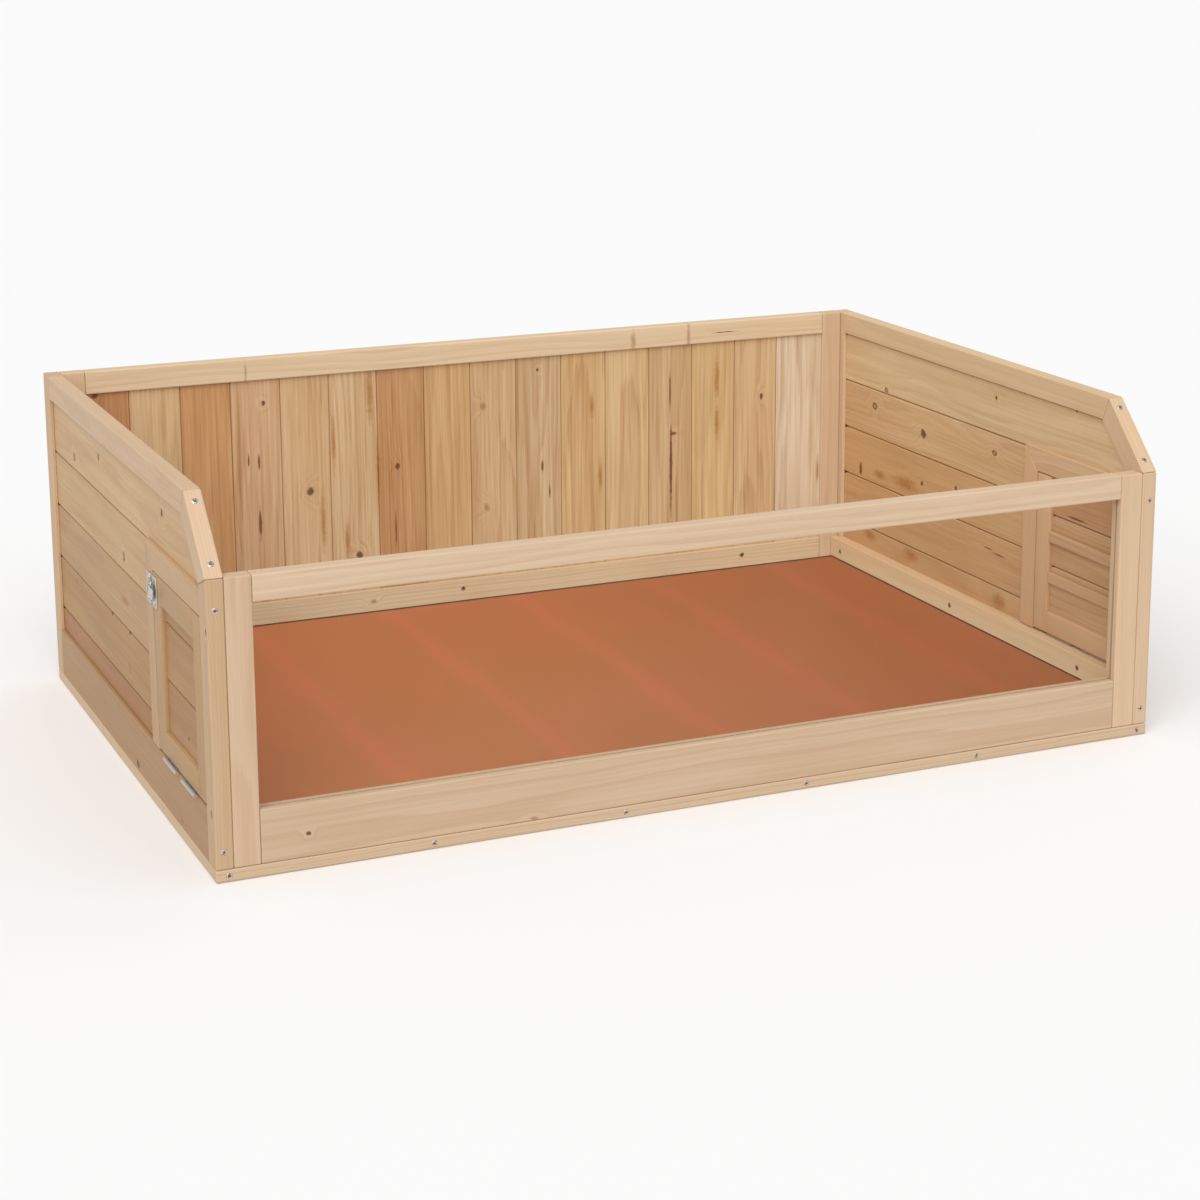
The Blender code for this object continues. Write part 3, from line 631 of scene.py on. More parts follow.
# The marks in each timber and panel of boards.
MARKS: dict[str, tuple[Mark, ...]] = {
    "back_boards": (
        Mark(0.446, -0.385, 0.0050, 0.0035), Mark(0.283, -0.307, 0.0085, 0.0070),
        Mark(0.313, -0.148, 0.0065, 0.0052), Mark(0.483, -0.671, 0.0060, 0.0060),
        Mark(0.344, -0.396, 0.0150, 0.0022, PITCH), Mark(0.236, -0.397, 0.0300, 0.0028, PITCH),
        Mark(0.349, -0.414, 0.0110, 0.0018, PITCH), Mark(0.161, -0.221, 0.0070, 0.0060),
        Mark(0.444, -0.196, 0.0500, 0.0060, STAIN), Mark(0.406, 0.013, 0.0080, 0.0060, SOFT),
        Mark(0.221, 0.018, 0.0080, 0.0065, SOFT), Mark(0.463, 0.117, 0.0030, 0.0028),
        Mark(0.286, 0.125, 0.0130, 0.0026, PITCH), Mark(0.239, 0.139, 0.0150, 0.0016, PITCH),
        Mark(0.262, 0.379, 0.0900, 0.0030, PITCH), Mark(0.323, 0.385, 0.0030, 0.0060, PITCH),
        Mark(0.400, 0.377, 0.0400, 0.0016, PITCH),
        Mark(0.377, 0.563, 0.0070, 0.0034), Mark(0.389, 0.222, 0.0220, 0.0050, STAIN),
        Mark(0.257, 0.238, 0.0300, 0.0040, STAIN), Mark(0.420, 0.472, 0.0380, 0.0050, STAIN),
        Mark(0.335, 0.472, 0.0380, 0.0045, STAIN), Mark(0.224, 0.683, 0.0300, 0.0034, STAIN),
        Mark(0.228, -0.285, 0.0550, 0.0055, STAIN), Mark(0.306, -0.183, 0.0600, 0.0045, STAIN),
        Mark(0.187, -0.242, 0.0350, 0.0045, STAIN), Mark(0.200, -0.153, 0.0320, 0.0016, PITCH),
        Mark(0.367, -0.263, 0.0500, 0.0040, STAIN), Mark(0.323, -0.545, 0.0200, 0.0030, PITCH),
    ),
    "right_boards": (
        Mark(0.310, 0.406, 0.0060, 0.0048, RIMMED), Mark(0.351, 0.369, 0.0085, 0.0065, RIMMED),
        Mark(0.175, 0.352, 0.0100, 0.0085), Mark(-0.062, 0.366, 0.0075, 0.0050, RIMMED),
        Mark(-0.063, 0.461, 0.0038, 0.0040), Mark(-0.304, 0.485, 0.0030, 0.0030),
        Mark(0.400, 0.241, 0.0060, 0.0130, PITCH), Mark(0.235, 0.248, 0.0450, 0.0130, STAIN),
        Mark(0.330, 0.244, 0.0220, 0.0080, STAIN), Mark(0.176, 0.261, 0.0050, 0.0045),
        Mark(0.061, 0.278, 0.0050, 0.0040), Mark(0.360, 0.122, 0.0240, 0.0100, STAIN),
        Mark(0.210, 0.120, 0.0280, 0.0110, STAIN), Mark(-0.089, 0.112, 0.0220, 0.0140, STAIN),
        Mark(-0.084, 0.192, 0.0220, 0.0016, PITCH), Mark(-0.050, 0.196, 0.0160, 0.0013, PITCH),
    ),
    "left_boards": (
        Mark(0.316, 0.420, 0.0060, 0.0066, RIMMED), Mark(0.139, 0.457, 0.0056, 0.0056, RIMMED),
        Mark(-0.252, 0.459, 0.0060, 0.0075), Mark(-0.004, 0.335, 0.0065, 0.0070, RIMMED),
        Mark(0.340, 0.209, 0.0070, 0.0050, SOFT), Mark(0.095, 0.221, 0.0060, 0.0045),
        Mark(-0.021, 0.221, 0.0060, 0.0040), Mark(-0.011, 0.164, 0.0080, 0.0095, SOFT),
        Mark(-0.001, 0.265, 0.0240, 0.0060, STAIN),
    ),
    "left_door_boards": (Mark(-0.354, 0.159, 0.0040, 0.0030),),
    "right_door_boards": (Mark(-0.314, 0.308, 0.0300, 0.0022, PITCH),),
    "front_bottom_rail": (
        Mark(-0.620, 0.052, 0.0040, 0.0030), Mark(-0.289, 0.022, 0.0070, 0.0026, SOFT)),
    "left_bottom_rail": (
        Mark(-0.063, 0.030, 0.0090, 0.0070), Mark(-0.323, 0.028, 0.0090, 0.0040, SOFT)),
    "left_front_stile": (
        Mark(0.352, -0.495, 0.0060, 0.0030), Mark(0.095, -0.488, 0.0070, 0.0030)),
    "back_top_rail": (
        Mark(0.411, 0.500, 0.0042, 0.0400, FINGER), Mark(0.301, 0.500, 0.0060, 0.0240, FINGER),
        Mark(-0.416, 0.500, 0.0026, 0.0240, FINGER), Mark(0.485, 0.505, 0.0260, 0.0010, PITCH)),
    "back_bottom_rail": (Mark(-0.200, 0.075, 0.0060, 0.0040, SOFT),),
}


def link(mesh: bpy.types.Mesh, name: str) -> bpy.types.Object:
    """Put a mesh in the scene as a piece at the origin."""
    made = bpy.data.objects.new(name, mesh)
    bpy.context.scene.collection.objects.link(made)
    return made


def mesh_of(form: bmesh.types.BMesh, name: str) -> bpy.types.Mesh:
    """Turn a bmesh into a mesh and free it."""
    mesh = bpy.data.meshes.new(name)
    form.to_mesh(mesh)
    form.free()
    return mesh


def plain_mesh(thing: bpy.types.Object, name: str) -> bpy.types.Object:
    """Replace an object by a plain mesh of what its modifiers make.

    Args:
        thing: The object, with live modifiers or as a curve.
        name: The name of the finished piece.

    Returns:
        The finished piece, at the origin.
    """
    bpy.context.view_layer.update()
    evaluated = thing.evaluated_get(bpy.context.evaluated_depsgraph_get())
    mesh = bpy.data.meshes.new_from_object(evaluated)
    mesh.transform(thing.matrix_world)
    old = thing.data
    bpy.data.objects.remove(thing, do_unlink=True)
    if isinstance(old, bpy.types.Mesh) and old.users == 0:
        bpy.data.meshes.remove(old)
    made = link(mesh, name)
    mesh.name = name
    return made


def draw_out(form: bmesh.types.BMesh, face: bmesh.types.BMFace, step: Sequence[float]) -> None:
    """Extrude a face by a step."""
    raised = bmesh.ops.extrude_face_region(form, geom=[face])["geom"]
    moved = [part for part in raised if isinstance(part, bmesh.types.BMVert)]
    bmesh.ops.translate(form, verts=moved, vec=step)


def cut_away(thing: bpy.types.Object, cutter: bpy.types.Object, name: str) -> bpy.types.Object:
    """Cut one shape out of another, and drop the cutter.

    Args:
        thing: The shape that is cut.
        cutter: The shape that is cut out of it.
        name: The name of what is left.

    Returns:
        What is left, as a plain mesh.
    """
    cut = thing.modifiers.new("cut", "BOOLEAN")
    cut.object, cut.operation, cut.solver = cutter, "DIFFERENCE", "EXACT"
    made = plain_mesh(thing, name)
    bpy.data.objects.remove(cutter, do_unlink=True)
    return made


def dress(node: str, finish: bpy.types.Material) -> None:
    """Give one of the frame's nodes a material in place of its own."""
    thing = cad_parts[node]
    thing.data.materials.clear()
    thing.data.materials.append(finish)


def prism(name: str, outline: Sequence[Point2], start: float, end: float) -> bpy.types.Mesh:
    """An outline in x and y drawn out along z.

    Args:
        name: The mesh's name.
        outline: The outline's corners, anticlockwise.
        start: The height of the lower end.
        end: The height of the upper end.

    Returns:
        A closed mesh with its faces pointing out.
    """
    form = bmesh.new()
    base = form.faces.new([form.verts.new((x, y, start)) for x, y in outline])
    draw_out(form, base, (0, 0, end - start))
    bmesh.ops.recalc_face_normals(form, faces=form.faces)
    return mesh_of(form, name)


def circle(middle: Point2, radius: float, sides: int = 20) -> list[Point2]:
    """The outline of a circle, anticlockwise."""
    turns = [math.tau * step / sides for step in range(sides)]
    return [(middle[0] + radius * math.cos(turn), middle[1] + radius * math.sin(turn))
            for turn in turns]


def skin(form: bmesh.types.BMesh, rings: Sequence[Sequence[bmesh.types.BMVert]]) -> None:
    """Join each ring of points to the next one with faces."""
    for lower, upper in zip(rings, rings[1:]):
        for step, point in enumerate(lower):
            after = (step + 1) % len(lower)
            form.faces.new((point, lower[after], upper[after], upper[step]))


def geometry_graph(name: str, inputs: dict[str, str]) -> Graph:
    """Start a geometry tree that takes a geometry and gives one.

    Args:
        name: The tree's name.
        inputs: The kind of each named input after the geometry.

    Returns:
        The graph to write the tree in.
    """
    tree = bpy.data.node_groups.new(name, "GeometryNodeTree")
    tree.interface.new_socket("Geometry", in_out="INPUT", socket_type="NodeSocketGeometry")
    for label, kind in inputs.items():
        tree.interface.new_socket(label, in_out="INPUT", socket_type=f"NodeSocket{kind}")
    tree.interface.new_socket("Geometry", in_out="OUTPUT", socket_type="NodeSocketGeometry")
    return Graph(tree)


def end_tree(graph: Graph, copies: bpy.types.NodeSocket,
             finish: bpy.types.NodeSocket) -> bpy.types.NodeTree:
    """End a geometry tree: make the copies real, give them a material and put them out."""
    real = graph.node("GeometryNodeRealizeInstances", {0: copies})
    dressed = graph.node("GeometryNodeSetMaterial",
                         {"Geometry": real.outputs[0], "Material": finish})
    graph.feed(graph.node("NodeGroupOutput").inputs[0], dressed.outputs[0])
    return graph.tree


def repeat_tree() -> bpy.types.NodeTree:
    """A geometry tree that sets copies of a shape in a row and numbers them.

    Returns:
        The tree. Its inputs are the shape, the count, the step from one copy to the next, how far
        a copy may stand in or out, the seed and the material.
    """
    name = "boards_in_a_row"
    found = bpy.data.node_groups.get(name)
    if found:
        return found
    graph = geometry_graph(name, {"Count": "Int", "Start": "Vector", "Step": "Vector",
                                  "Unevenness": "Vector", "Seed": "Int", "Finish": "Material"})
    given = graph.node("NodeGroupInput").outputs
    row = graph.node("GeometryNodeMeshLine",
                     {"Count": given["Count"], "Start Location": given["Start"],
                      "Offset": given["Step"]}, mode="OFFSET")
    chance = graph.node("FunctionNodeRandomValue", {"Seed": given["Seed"]},
                        data_type="FLOAT_VECTOR")
    chance.inputs[0].default_value = (-1.0, -1.0, -1.0)
    chance.inputs[1].default_value = (1.0, 1.0, 1.0)
    shake = graph.vector("MULTIPLY", chance.outputs[0], given["Unevenness"])
    moved = graph.node("GeometryNodeSetPosition", {"Geometry": row.outputs[0], "Offset": shake})
    copies = graph.node("GeometryNodeInstanceOnPoints", {"Points": moved.outputs[0],
                                                         "Instance": given["Geometry"]})
    index = graph.node("GeometryNodeInputIndex")
    numbered = graph.node("GeometryNodeStoreNamedAttribute",
                          {"Geometry": copies.outputs[0], "Name": "board",
                           "Value": index.outputs[0]}, data_type="FLOAT", domain="INSTANCE")
    return end_tree(graph, numbered.outputs[0], given["Finish"])


def screws_tree() -> bpy.types.NodeTree:
    """A geometry tree that puts a shape on each point, facing out, each turned by chance.

    Returns:
        The tree. Its first input is the points, each with a vector named facing.
    """
    name = "screws_on_points"
    found = bpy.data.node_groups.get(name)
    if found:
        return found
    graph = geometry_graph(name, {"Shape": "Object", "Size": "Float", "Seed": "Int",
                                  "Finish": "Material"})
    given = graph.node("NodeGroupInput").outputs
    points = graph.node("GeometryNodeMeshToPoints", {"Mesh": given["Geometry"]})
    facing = graph.node("GeometryNodeInputNamedAttribute", {"Name": "facing"},
                        data_type="FLOAT_VECTOR")
    aim = graph.node("FunctionNodeAlignRotationToVector", {"Vector": facing.outputs[0]}, axis="Z")
    spin = graph.node("FunctionNodeRandomValue", {"Seed": given["Seed"]}, data_type="FLOAT")
    spin.inputs[2].default_value = 0.0
    spin.inputs[3].default_value = math.tau
    turn = graph.node("FunctionNodeAxisAngleToRotation", {"Axis": (0.0, 0.0, 1.0),
                                                          "Angle": spin.outputs[1]})
    both = graph.node("FunctionNodeRotateRotation", {"Rotation": aim.outputs[0],
                                                     "Rotate By": turn.outputs[0]},
                      rotation_space="LOCAL")
    shape = graph.node("GeometryNodeObjectInfo", {"Object": given["Shape"]})
    copies = graph.node("GeometryNodeInstanceOnPoints",
                        {"Points": points.outputs[0], "Instance": shape.outputs["Geometry"],
                         "Rotation": both.outputs[0], "Scale": given["Size"]})
    return end_tree(graph, copies.outputs[0], given["Finish"])


def run_tree(thing: bpy.types.Object, tree: bpy.types.NodeTree, inputs: dict[str, object]) -> None:
    """Give an object a geometry modifier with its inputs set.

    Args:
        thing: The object that the modifier goes on.
        tree: The geometry tree.
        inputs: The value of each named input.
    """
    step = thing.modifiers.new(tree.name, "NODES")
    step.node_group = tree
    sockets = {item.name: item.identifier for item in tree.interface.items_tree
               if item.item_type == "SOCKET" and item.in_out == "INPUT"}
    for label, value in inputs.items():
        step[sockets[label]] = value


@dataclass
class BoardRow:
    """Tongue-and-groove boards side by side, in their own space: x across, y through, z along."""

    cover: float
    thick: float = 0.0125
    vee: float = 0.0015
    gap: float = 0.00045
    tongue: float = 0.0050
    tongue_half: float = 0.0020
    slack: float = 0.0004
    notch: Point2 = (0.0110, 0.0046)
    notch_depth: float = 0.30
    unevenness: float = 0.00018

    def profile(self) -> list[Point2]:
        """The cross-section of one board, with its tongue, its groove and the vees on both faces.

        Returns:
            The outline's corners, anticlockwise, with the groove at x = 0.
        """
        middle, edge = self.thick / 2, self.cover - self.gap
        inner, outer = self.tongue_half, self.tongue_half + self.slack
        reach, depth = edge + self.tongue, self.tongue + 2 * self.slack
        return [
            (self.vee, 0), (edge - self.vee, 0), (edge, self.vee), (edge, middle - inner),
            (reach, middle - inner), (reach, middle + inner), (edge, middle + inner),
            (edge, self.thick - self.vee), (edge - self.vee, self.thick), (self.vee, self.thick),
            (0, self.thick - self.vee), (0, middle + outer), (depth, middle + outer),
            (depth, middle - outer), (0, middle - outer), (0, self.vee),
        ]

    def build(self, name: str, count: int, length: float, place: Matrix, finish: bpy.types.Material,
              colours: Sequence[Colour], seed: int,
              trims: Iterable[tuple] = (), notched_at: float | None = None,
              last_wider: float = 0.0) -> bpy.types.Object:
        """Make the boards of one panel.

        Args:
            name: The piece's name.
            count: How many boards.
            length: The length of a board.
            place: Where the row's own space stands.
            finish: The boards' material.
            colours: The colour of each board in turn.
            seed: Sets the small differences from board to board.
            trims: Planes (point, outward normal) that the boards are cut off at.
            notched_at: Where along the boards the vees open into small chips beside a stile.
            last_wider: How much wider the last board is than the others.

        Returns:
            The panel's boards as one piece.
        """
        made = link(prism(name + "_board", self.profile(), 0.0, length), name + "_row")
        run_tree(made, repeat_tree(), {
            "Count": count, "Start": (0.0, 0.0, 0.0), "Step": (self.cover, 0.0, 0.0),
            "Unevenness": (0.0, self.unevenness, 0.0), "Seed": seed, "Finish": finish})
        made = plain_mesh(made, name)
        if notched_at is not None:
            chips = self.chips(name, count, notched_at)
            chips.data.materials.append(finish)
            made = cut_away(made, chips, name)
        numbers = [self.board_at(vertex.co) for vertex in made.data.vertices]
        made.data.attributes["board"].data.foreach_set("value", numbers)
        for vertex in made.data.vertices:
            if vertex.co.x > (count - 0.5) * self.cover:
                vertex.co.x += last_wider
        made.data.transform(place)
        form = bmesh.new()
        form.from_mesh(made.data)
        for point, normal in trims:
            everything = form.verts[:] + form.edges[:] + form.faces[:]
            cut_edges = bmesh.ops.bisect_plane(form, geom=everything, plane_co=point,
                                               plane_no=normal, clear_outer=True)["geom_cut"]
            rims = [part for part in cut_edges if isinstance(part, bmesh.types.BMEdge)]
            bmesh.ops.holes_fill(form, edges=rims, sides=0)
        bmesh.ops.recalc_face_normals(form, faces=form.faces)
        form.to_mesh(made.data)
        form.free()
        self.mark_boards(made.data, place, colours)
        return made

    def board_at(self, point: Vector) -> float:
        """The number of the board that a point of the row's own space belongs to."""
        number = math.floor(point.x / self.cover + 0.0001)
        level = abs(point.y - self.thick / 2)
        past = point.x - number * self.cover
        spare = self.slack / 2
        on_tongue = level < self.tongue_half + spare and past < self.tongue + spare
        return float(max(0, number - 1 if on_tongue else number))

    def mark_boards(self, mesh: bpy.types.Mesh, place: Matrix,
                    colours: Sequence[Colour]) -> None:
        """Store each board's colour and middle on its points, for the finish to read.

        Args:
            mesh: The boards.
            place: Where the row's own space stands.
            colours: The colour of each board in turn.
        """
        numbers = [round(item.value) for item in mesh.attributes["board"].data]
        across = place.to_3x3() @ Vector((1, 0, 0))
        first = place.translation.dot(across)
        layer = mesh.attributes.new("wood_colour", "FLOAT_COLOR", "POINT")
        layer.data.foreach_set("color", [part for number in numbers for part in colours[number]])
        layer = mesh.attributes.new("board_middle", "FLOAT", "POINT")
        layer.data.foreach_set("value", [first + (number + 0.5) * self.cover for number in numbers])

    def chips(self, name: str, count: int, along: float) -> bpy.types.Object:
        """The cutters of the small chips where a vee meets a stile, on both faces."""
        form = bmesh.new()
        long, wide = self.notch
        for number in range(1, count):
            joint, deep = number * self.cover, self.thick * self.notch_depth
            for level in (-self.vee, self.thick - deep):
                low = [form.verts.new(point) for point in (
                    (joint - wide, level, along + self.vee),
                    (joint + wide, level, along + self.vee), (joint, level, along - long))]
                draw_out(form, form.faces.new(low), (0, deep + self.vee, 0))
        bmesh.ops.recalc_face_normals(form, faces=form.faces)
        return link(mesh_of(form, name + "_chips"), name + "_chips")


def timber_rows(low: Vector, high: Vector) -> list[Vector]:
    """The grain's frame for a straight timber: along its length, across its face, through it."""
    size = high - low
    order = sorted(range(3), key=lambda axis: -size[axis])
    along = Vector([float(axis == order[0]) for axis in range(3)])
    across = Vector([float(axis == order[1]) for axis in range(3)])
    return [along, across, along.cross(across)]


def toned(finish: Spruce, name: str) -> Spruce:
    """A finish with a timber's tone and painted shade: its entry in TONES_AND_SHADE, or a small
    difference in tone by chance.

    Args:
        finish: The finish to start from.
        name: The timber's name.

    Returns:
        The finish with its base colour changed.
    """
    chance = random.Random(zlib.crc32(name.encode()) + 1)
    light, warm = chance.uniform(0.96, 1.03), chance.uniform(-0.025, 0.025)
    tone = TONES_AND_SHADE.get(name, (light, light, light - warm))
    red, green, blue, _ = finish.base
    return replace(finish, base=(red * tone[0], green * tone[1], blue * tone[2], 1.0))


def dress_timber(node: str, finish: Spruce = FRAME_SPRUCE,
                 rows: list[Vector] | None = None) -> None:
    """Give one of the frame's timbers its own spruce material."""
    low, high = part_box(node)
    made = toned(finish, node).material("spruce_" + node, rows or timber_rows(low, high),
                                        (low + high) / 2, MARKS.get(node, ()))
    dress(node, made)


@dataclass
class BaseLadder:
    """The battens on the ground, the bearers, the floor sheet and the cleats beside it."""

    cleat_thick: float = 0.015
    wall: float = 0.025

    def dress(self) -> None:
        """Give the base's timbers and the floor their finishes."""
        for word in ("front", "back", "left", "right"):
            dress_timber(f"base_{word}_batten", BASE_SPRUCE)
        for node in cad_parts:
            if node.startswith("floor_bearer"):
                dress_timber(node, BASE_SPRUCE)
        for side in Side:
            dress_timber(f"{side.word}_floor_cleat")
        dress("floor_sheet", FloorFilm().material(INNER_HALF_WIDTH - self.cleat_thick,
                                                  HALF_DEPTH - self.wall))
        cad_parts["floor_sheet"].visible_diffuse = False
        LOG.info("base and floor dressed")


@dataclass
class FrontPanel:
    """The low front: its frame and its clear pane."""

    def dress(self) -> None:
        """Give the front's frame and pane their finishes."""
        for member in ("left_stile", "right_stile", "top_rail", "bottom_rail"):
            dress_timber(f"front_{member}")
        dress("front_pane", ClearPane().material())
        LOG.info("front panel dressed")


@dataclass
class BackPanel:
    """The back: its frame and its sixteen upright boards."""

    first_joint: float = -0.614
    row: BoardRow = field(default_factory=lambda: BoardRow(cover=0.0863))
    colours: tuple[Colour, ...] = (
        srgb(199, 148, 103), srgb(219, 187, 143), srgb(209, 161, 113), srgb(217, 181, 141),
        srgb(217, 182, 139), srgb(218, 187, 145), srgb(202, 156, 110), srgb(211, 174, 126),
        srgb(214, 180, 138), srgb(213, 183, 142), srgb(215, 180, 132), srgb(217, 186, 140),
        srgb(211, 178, 136), srgb(219, 187, 138), srgb(220, 189, 146), srgb(228, 209, 182))

    def build(self) -> bpy.types.Object:
        """Make the upright boards in the frame's housing."""
        low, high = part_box("back_boards")
        place = Matrix.Translation((self.first_joint - self.row.cover, low.y, low.z))
        rows = [Vector((0, 0, 1)), Vector((1, 0, 0)), Vector((0, 1, 0))]
        finish = BOARD_SPRUCE.material("spruce_back_boards", rows, Vector((0, low.y, low.z)),
                                       MARKS["back_boards"], (low.y, high.y), by_board=True)
        last = self.first_joint + (len(self.colours) - 1) * self.row.cover
        made = self.row.build("back_board_row", len(self.colours), high.z - low.z, place, finish,
                              self.colours, 11,
                              (((low.x, 0, 0), (-1, 0, 0)), ((high.x, 0, 0), (1, 0, 0))),
                              last_wider=high.x - last)
        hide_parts("back_boards")
        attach(made, "root")
        return made

    def dress(self) -> None:
        """Give the back's frame its finish."""
        for member in ("left_stile", "right_stile", "top_rail", "bottom_rail"):
            dress_timber(f"back_{member}")
        LOG.info("back panel built and dressed")


# Each side's boards, from the lowest up. The last one runs above the door.
# Painted shade: the lower boards are darker, and the left side's boards darker than the right's, as
# that face is in shade.
SIDE_SHADED_COLOURS: dict[Side, tuple[Colour, ...]] = {
    Side.RIGHT: (srgb(211, 171, 126), srgb(211, 169, 122), srgb(213, 172, 124), srgb(218, 183, 139),
                 srgb(226, 199, 157)),
    Side.LEFT: (srgb(177, 130, 87), srgb(186, 147, 101), srgb(196, 160, 118), srgb(208, 175, 131),
                srgb(215, 182, 140)),
}


# The grain's frame for a side's level boards.
LEVEL_BOARD_ROWS = (Vector((0, 1, 0)), Vector((0, 0, 1)), Vector((1, 0, 0)))


@dataclass
class SidePanel:
    """One side: its frame, and its level boards, which stop at the door."""

    side: Side
    row: BoardRow = field(default_factory=lambda: BoardRow(cover=0.088, vee=0.0022))
    frame_wide: float = 0.038
    jamb_reach: float = 0.008

    def build(self) -> list[bpy.types.Object]:
        """Make the boards beside the door and the long one above it.

        Returns:
            The lower boards and the top board.
        """
        word, thick = self.side.word, self.row.thick
        low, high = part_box(f"{word}_boards")
        finish = SIDE_BOARD_SPRUCE.material(
            f"spruce_{word}_boards", LEVEL_BOARD_ROWS, low, MARKS[f"{word}_boards"],
            (low.x, low.x + thick), by_board=True)
        top_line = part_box(f"{word}_top_rail")[0].z
        foot = top_line - 5 * self.row.cover
        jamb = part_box(f"{word}_door_jamb")[1].y - self.jamb_reach
        slope = Vector((0, -1, 1)).normalized()
        corner = Vector((0, -HALF_DEPTH, FRONT_HEIGHT)) - slope * (self.frame_wide - 0.008)
        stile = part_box(f"{word}_rear_stile")[0].y
        shaded_tones = SIDE_SHADED_COLOURS[self.side]
        made = []
        for label, start_z, near, trims, colours in (
                ("lower", foot, jamb, (((0, 0, low.z), (0, 0, -1)),), shaded_tones[:4]),
                ("top", foot + 4 * self.row.cover, low.y,
                 (((0, 0, high.z), (0, 0, 1)), (corner, slope)), shaded_tones[4:] * 2)):
            place = Matrix(((0, 1, 0, low.x), (0, 0, 1, near), (1, 0, 0, start_z), (0, 0, 0, 1)))
            piece = self.row.build(f"{word}_{label}_board_row", len(colours), high.y - near, place,
                                   finish, colours, 20 + self.side.value, trims, stile - near)
            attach(piece, "root")
            made.append(piece)
        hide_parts(f"{word}_boards")
        return made

    def dress(self) -> None:
        """Give the side's frame its finish."""
        word = self.side.word
        for member in ("rear_stile", "front_stile", "top_rail", "bottom_rail", "door_jamb",
                       "door_lintel"):
            dress_timber(f"{word}_{member}")
        slant = [Vector((0, 1, 1)).normalized(), Vector((0, -1, 1)).normalized(), Vector((1, 0, 0))]
        dress_timber(f"{word}_chamfer_rail", rows=slant)
        LOG.info("%s side panel built and dressed", word)


# Each door's boards, from the lowest up.
# Painted shade: the left door's boards are darker than the right's, as its face is in shade.
DOOR_SHADED_COLOURS: dict[Side, tuple[Colour, ...]] = {
    Side.RIGHT: (srgb(212, 172, 130), srgb(212, 172, 130), srgb(206, 160, 116),
                 srgb(212, 172, 130)),
    Side.LEFT: (srgb(182, 140, 97), srgb(186, 145, 101), srgb(188, 147, 103),
                srgb(188, 147, 103)),
}


@dataclass
class RampDoor:
    """A door that drops as a ramp: a frame of four members, level boards and two rungs."""

    side: Side
    stile_wide: float = 0.038
    rail_round: float = 0.0026
    housing: float = 0.008
    seam: float = 0.00015
    joint_height: float = 0.214
    tuck: float = 0.002
    smooth_below: float = 40.0
    row: BoardRow = field(default_factory=lambda: BoardRow(cover=0.0860, vee=0.0022))

    def member(self, name: str, low: Vector, high: Vector) -> bpy.types.Object:
        """Make one member of the door's frame, with rounded arrises.

        Args:
            name: The member's name.
            low: Its lowest corner.
            high: Its highest corner.

        Returns:
            The finished member, riding on the door.
        """
        form = bmesh.new()
        size = high - low
        place = Matrix.Translation((low + high) / 2) @ Matrix.Diagonal((*size, 1.0))
        bmesh.ops.create_cube(form, size=1.0, matrix=place)
        bmesh.ops.bevel(form, geom=form.edges[:], offset=self.rail_round, segments=3, profile=0.5,
                        affect="EDGES")
        made = link(mesh_of(form, name), name)
        made.data.shade_smooth()
        made.data.set_sharp_from_angle(angle=math.radians(self.smooth_below))
        # The door's entry in TONES_AND_SHADE darkens the left door as painted shade.
        wood = toned(FRAME_SPRUCE, f"{self.side.word}_door")
        made.data.materials.append(
            wood.material("spruce_" + name, timber_rows(low, high), (low + high) / 2))
        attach(made, f"{self.side.word}_door")
        return made

    def build(self) -> None:
        """Make the door's frame and boards, and dress its rungs."""
        word = self.side.word
        low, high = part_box(f"{word}_door_frame")
        boards_low, boards_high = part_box(f"{word}_door_boards")
        foot, head = boards_low.z + self.housing, boards_high.z - self.housing
        near, far = low.y + self.stile_wide, high.y - self.stile_wide
        stiles = [self.member(f"{word}_door_{end}_stile", Vector((low.x, start, low.z)),
                              Vector((high.x, stop, high.z)))
                  for end, start, stop in (("front", low.y, near), ("rear", far, high.y))]
        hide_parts(f"{word}_door_frame")
        self.member(f"{word}_door_bottom_rail", Vector((low.x, near + self.seam, low.z)),
                    Vector((high.x, far - self.seam, foot)))
        board_inner = boards_low.x if self.side is Side.RIGHT else boards_high.x
        edges = sorted((self.side.value * HALF_WIDTH, board_inner))
        self.member(f"{word}_door_top_rail", Vector((edges[0], near + self.seam, head)),
                    Vector((edges[1], far - self.seam, high.z)))
        finish = SIDE_BOARD_SPRUCE.material(
            f"spruce_{word}_door_boards", LEVEL_BOARD_ROWS, boards_low,
            MARKS[f"{word}_door_boards"], (boards_low.x, boards_high.x), by_board=True)
        tuck, colours = self.tuck, DOOR_SHADED_COLOURS[self.side]
        place = Matrix(((0, 1, 0, boards_low.x), (0, 0, 1, near - tuck),
                        (1, 0, 0, self.joint_height - self.row.cover), (0, 0, 0, 1)))
        trims = (((0, 0, foot - tuck), (0, 0, -1)), ((0, 0, high.z - tuck), (0, 0, 1)))
        boards = self.row.build(f"{word}_door_board_row", len(colours), far - near + 2 * tuck,
                                place, finish, colours, 30 + self.side.value, trims,
                                far - near + tuck)
        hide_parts(f"{word}_door_boards")
        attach(boards, f"{word}_door")
        for rung in (1, 2):
            dress_timber(f"{word}_door_rung_{rung}")
        LOG.info("%s ramp door built", word)


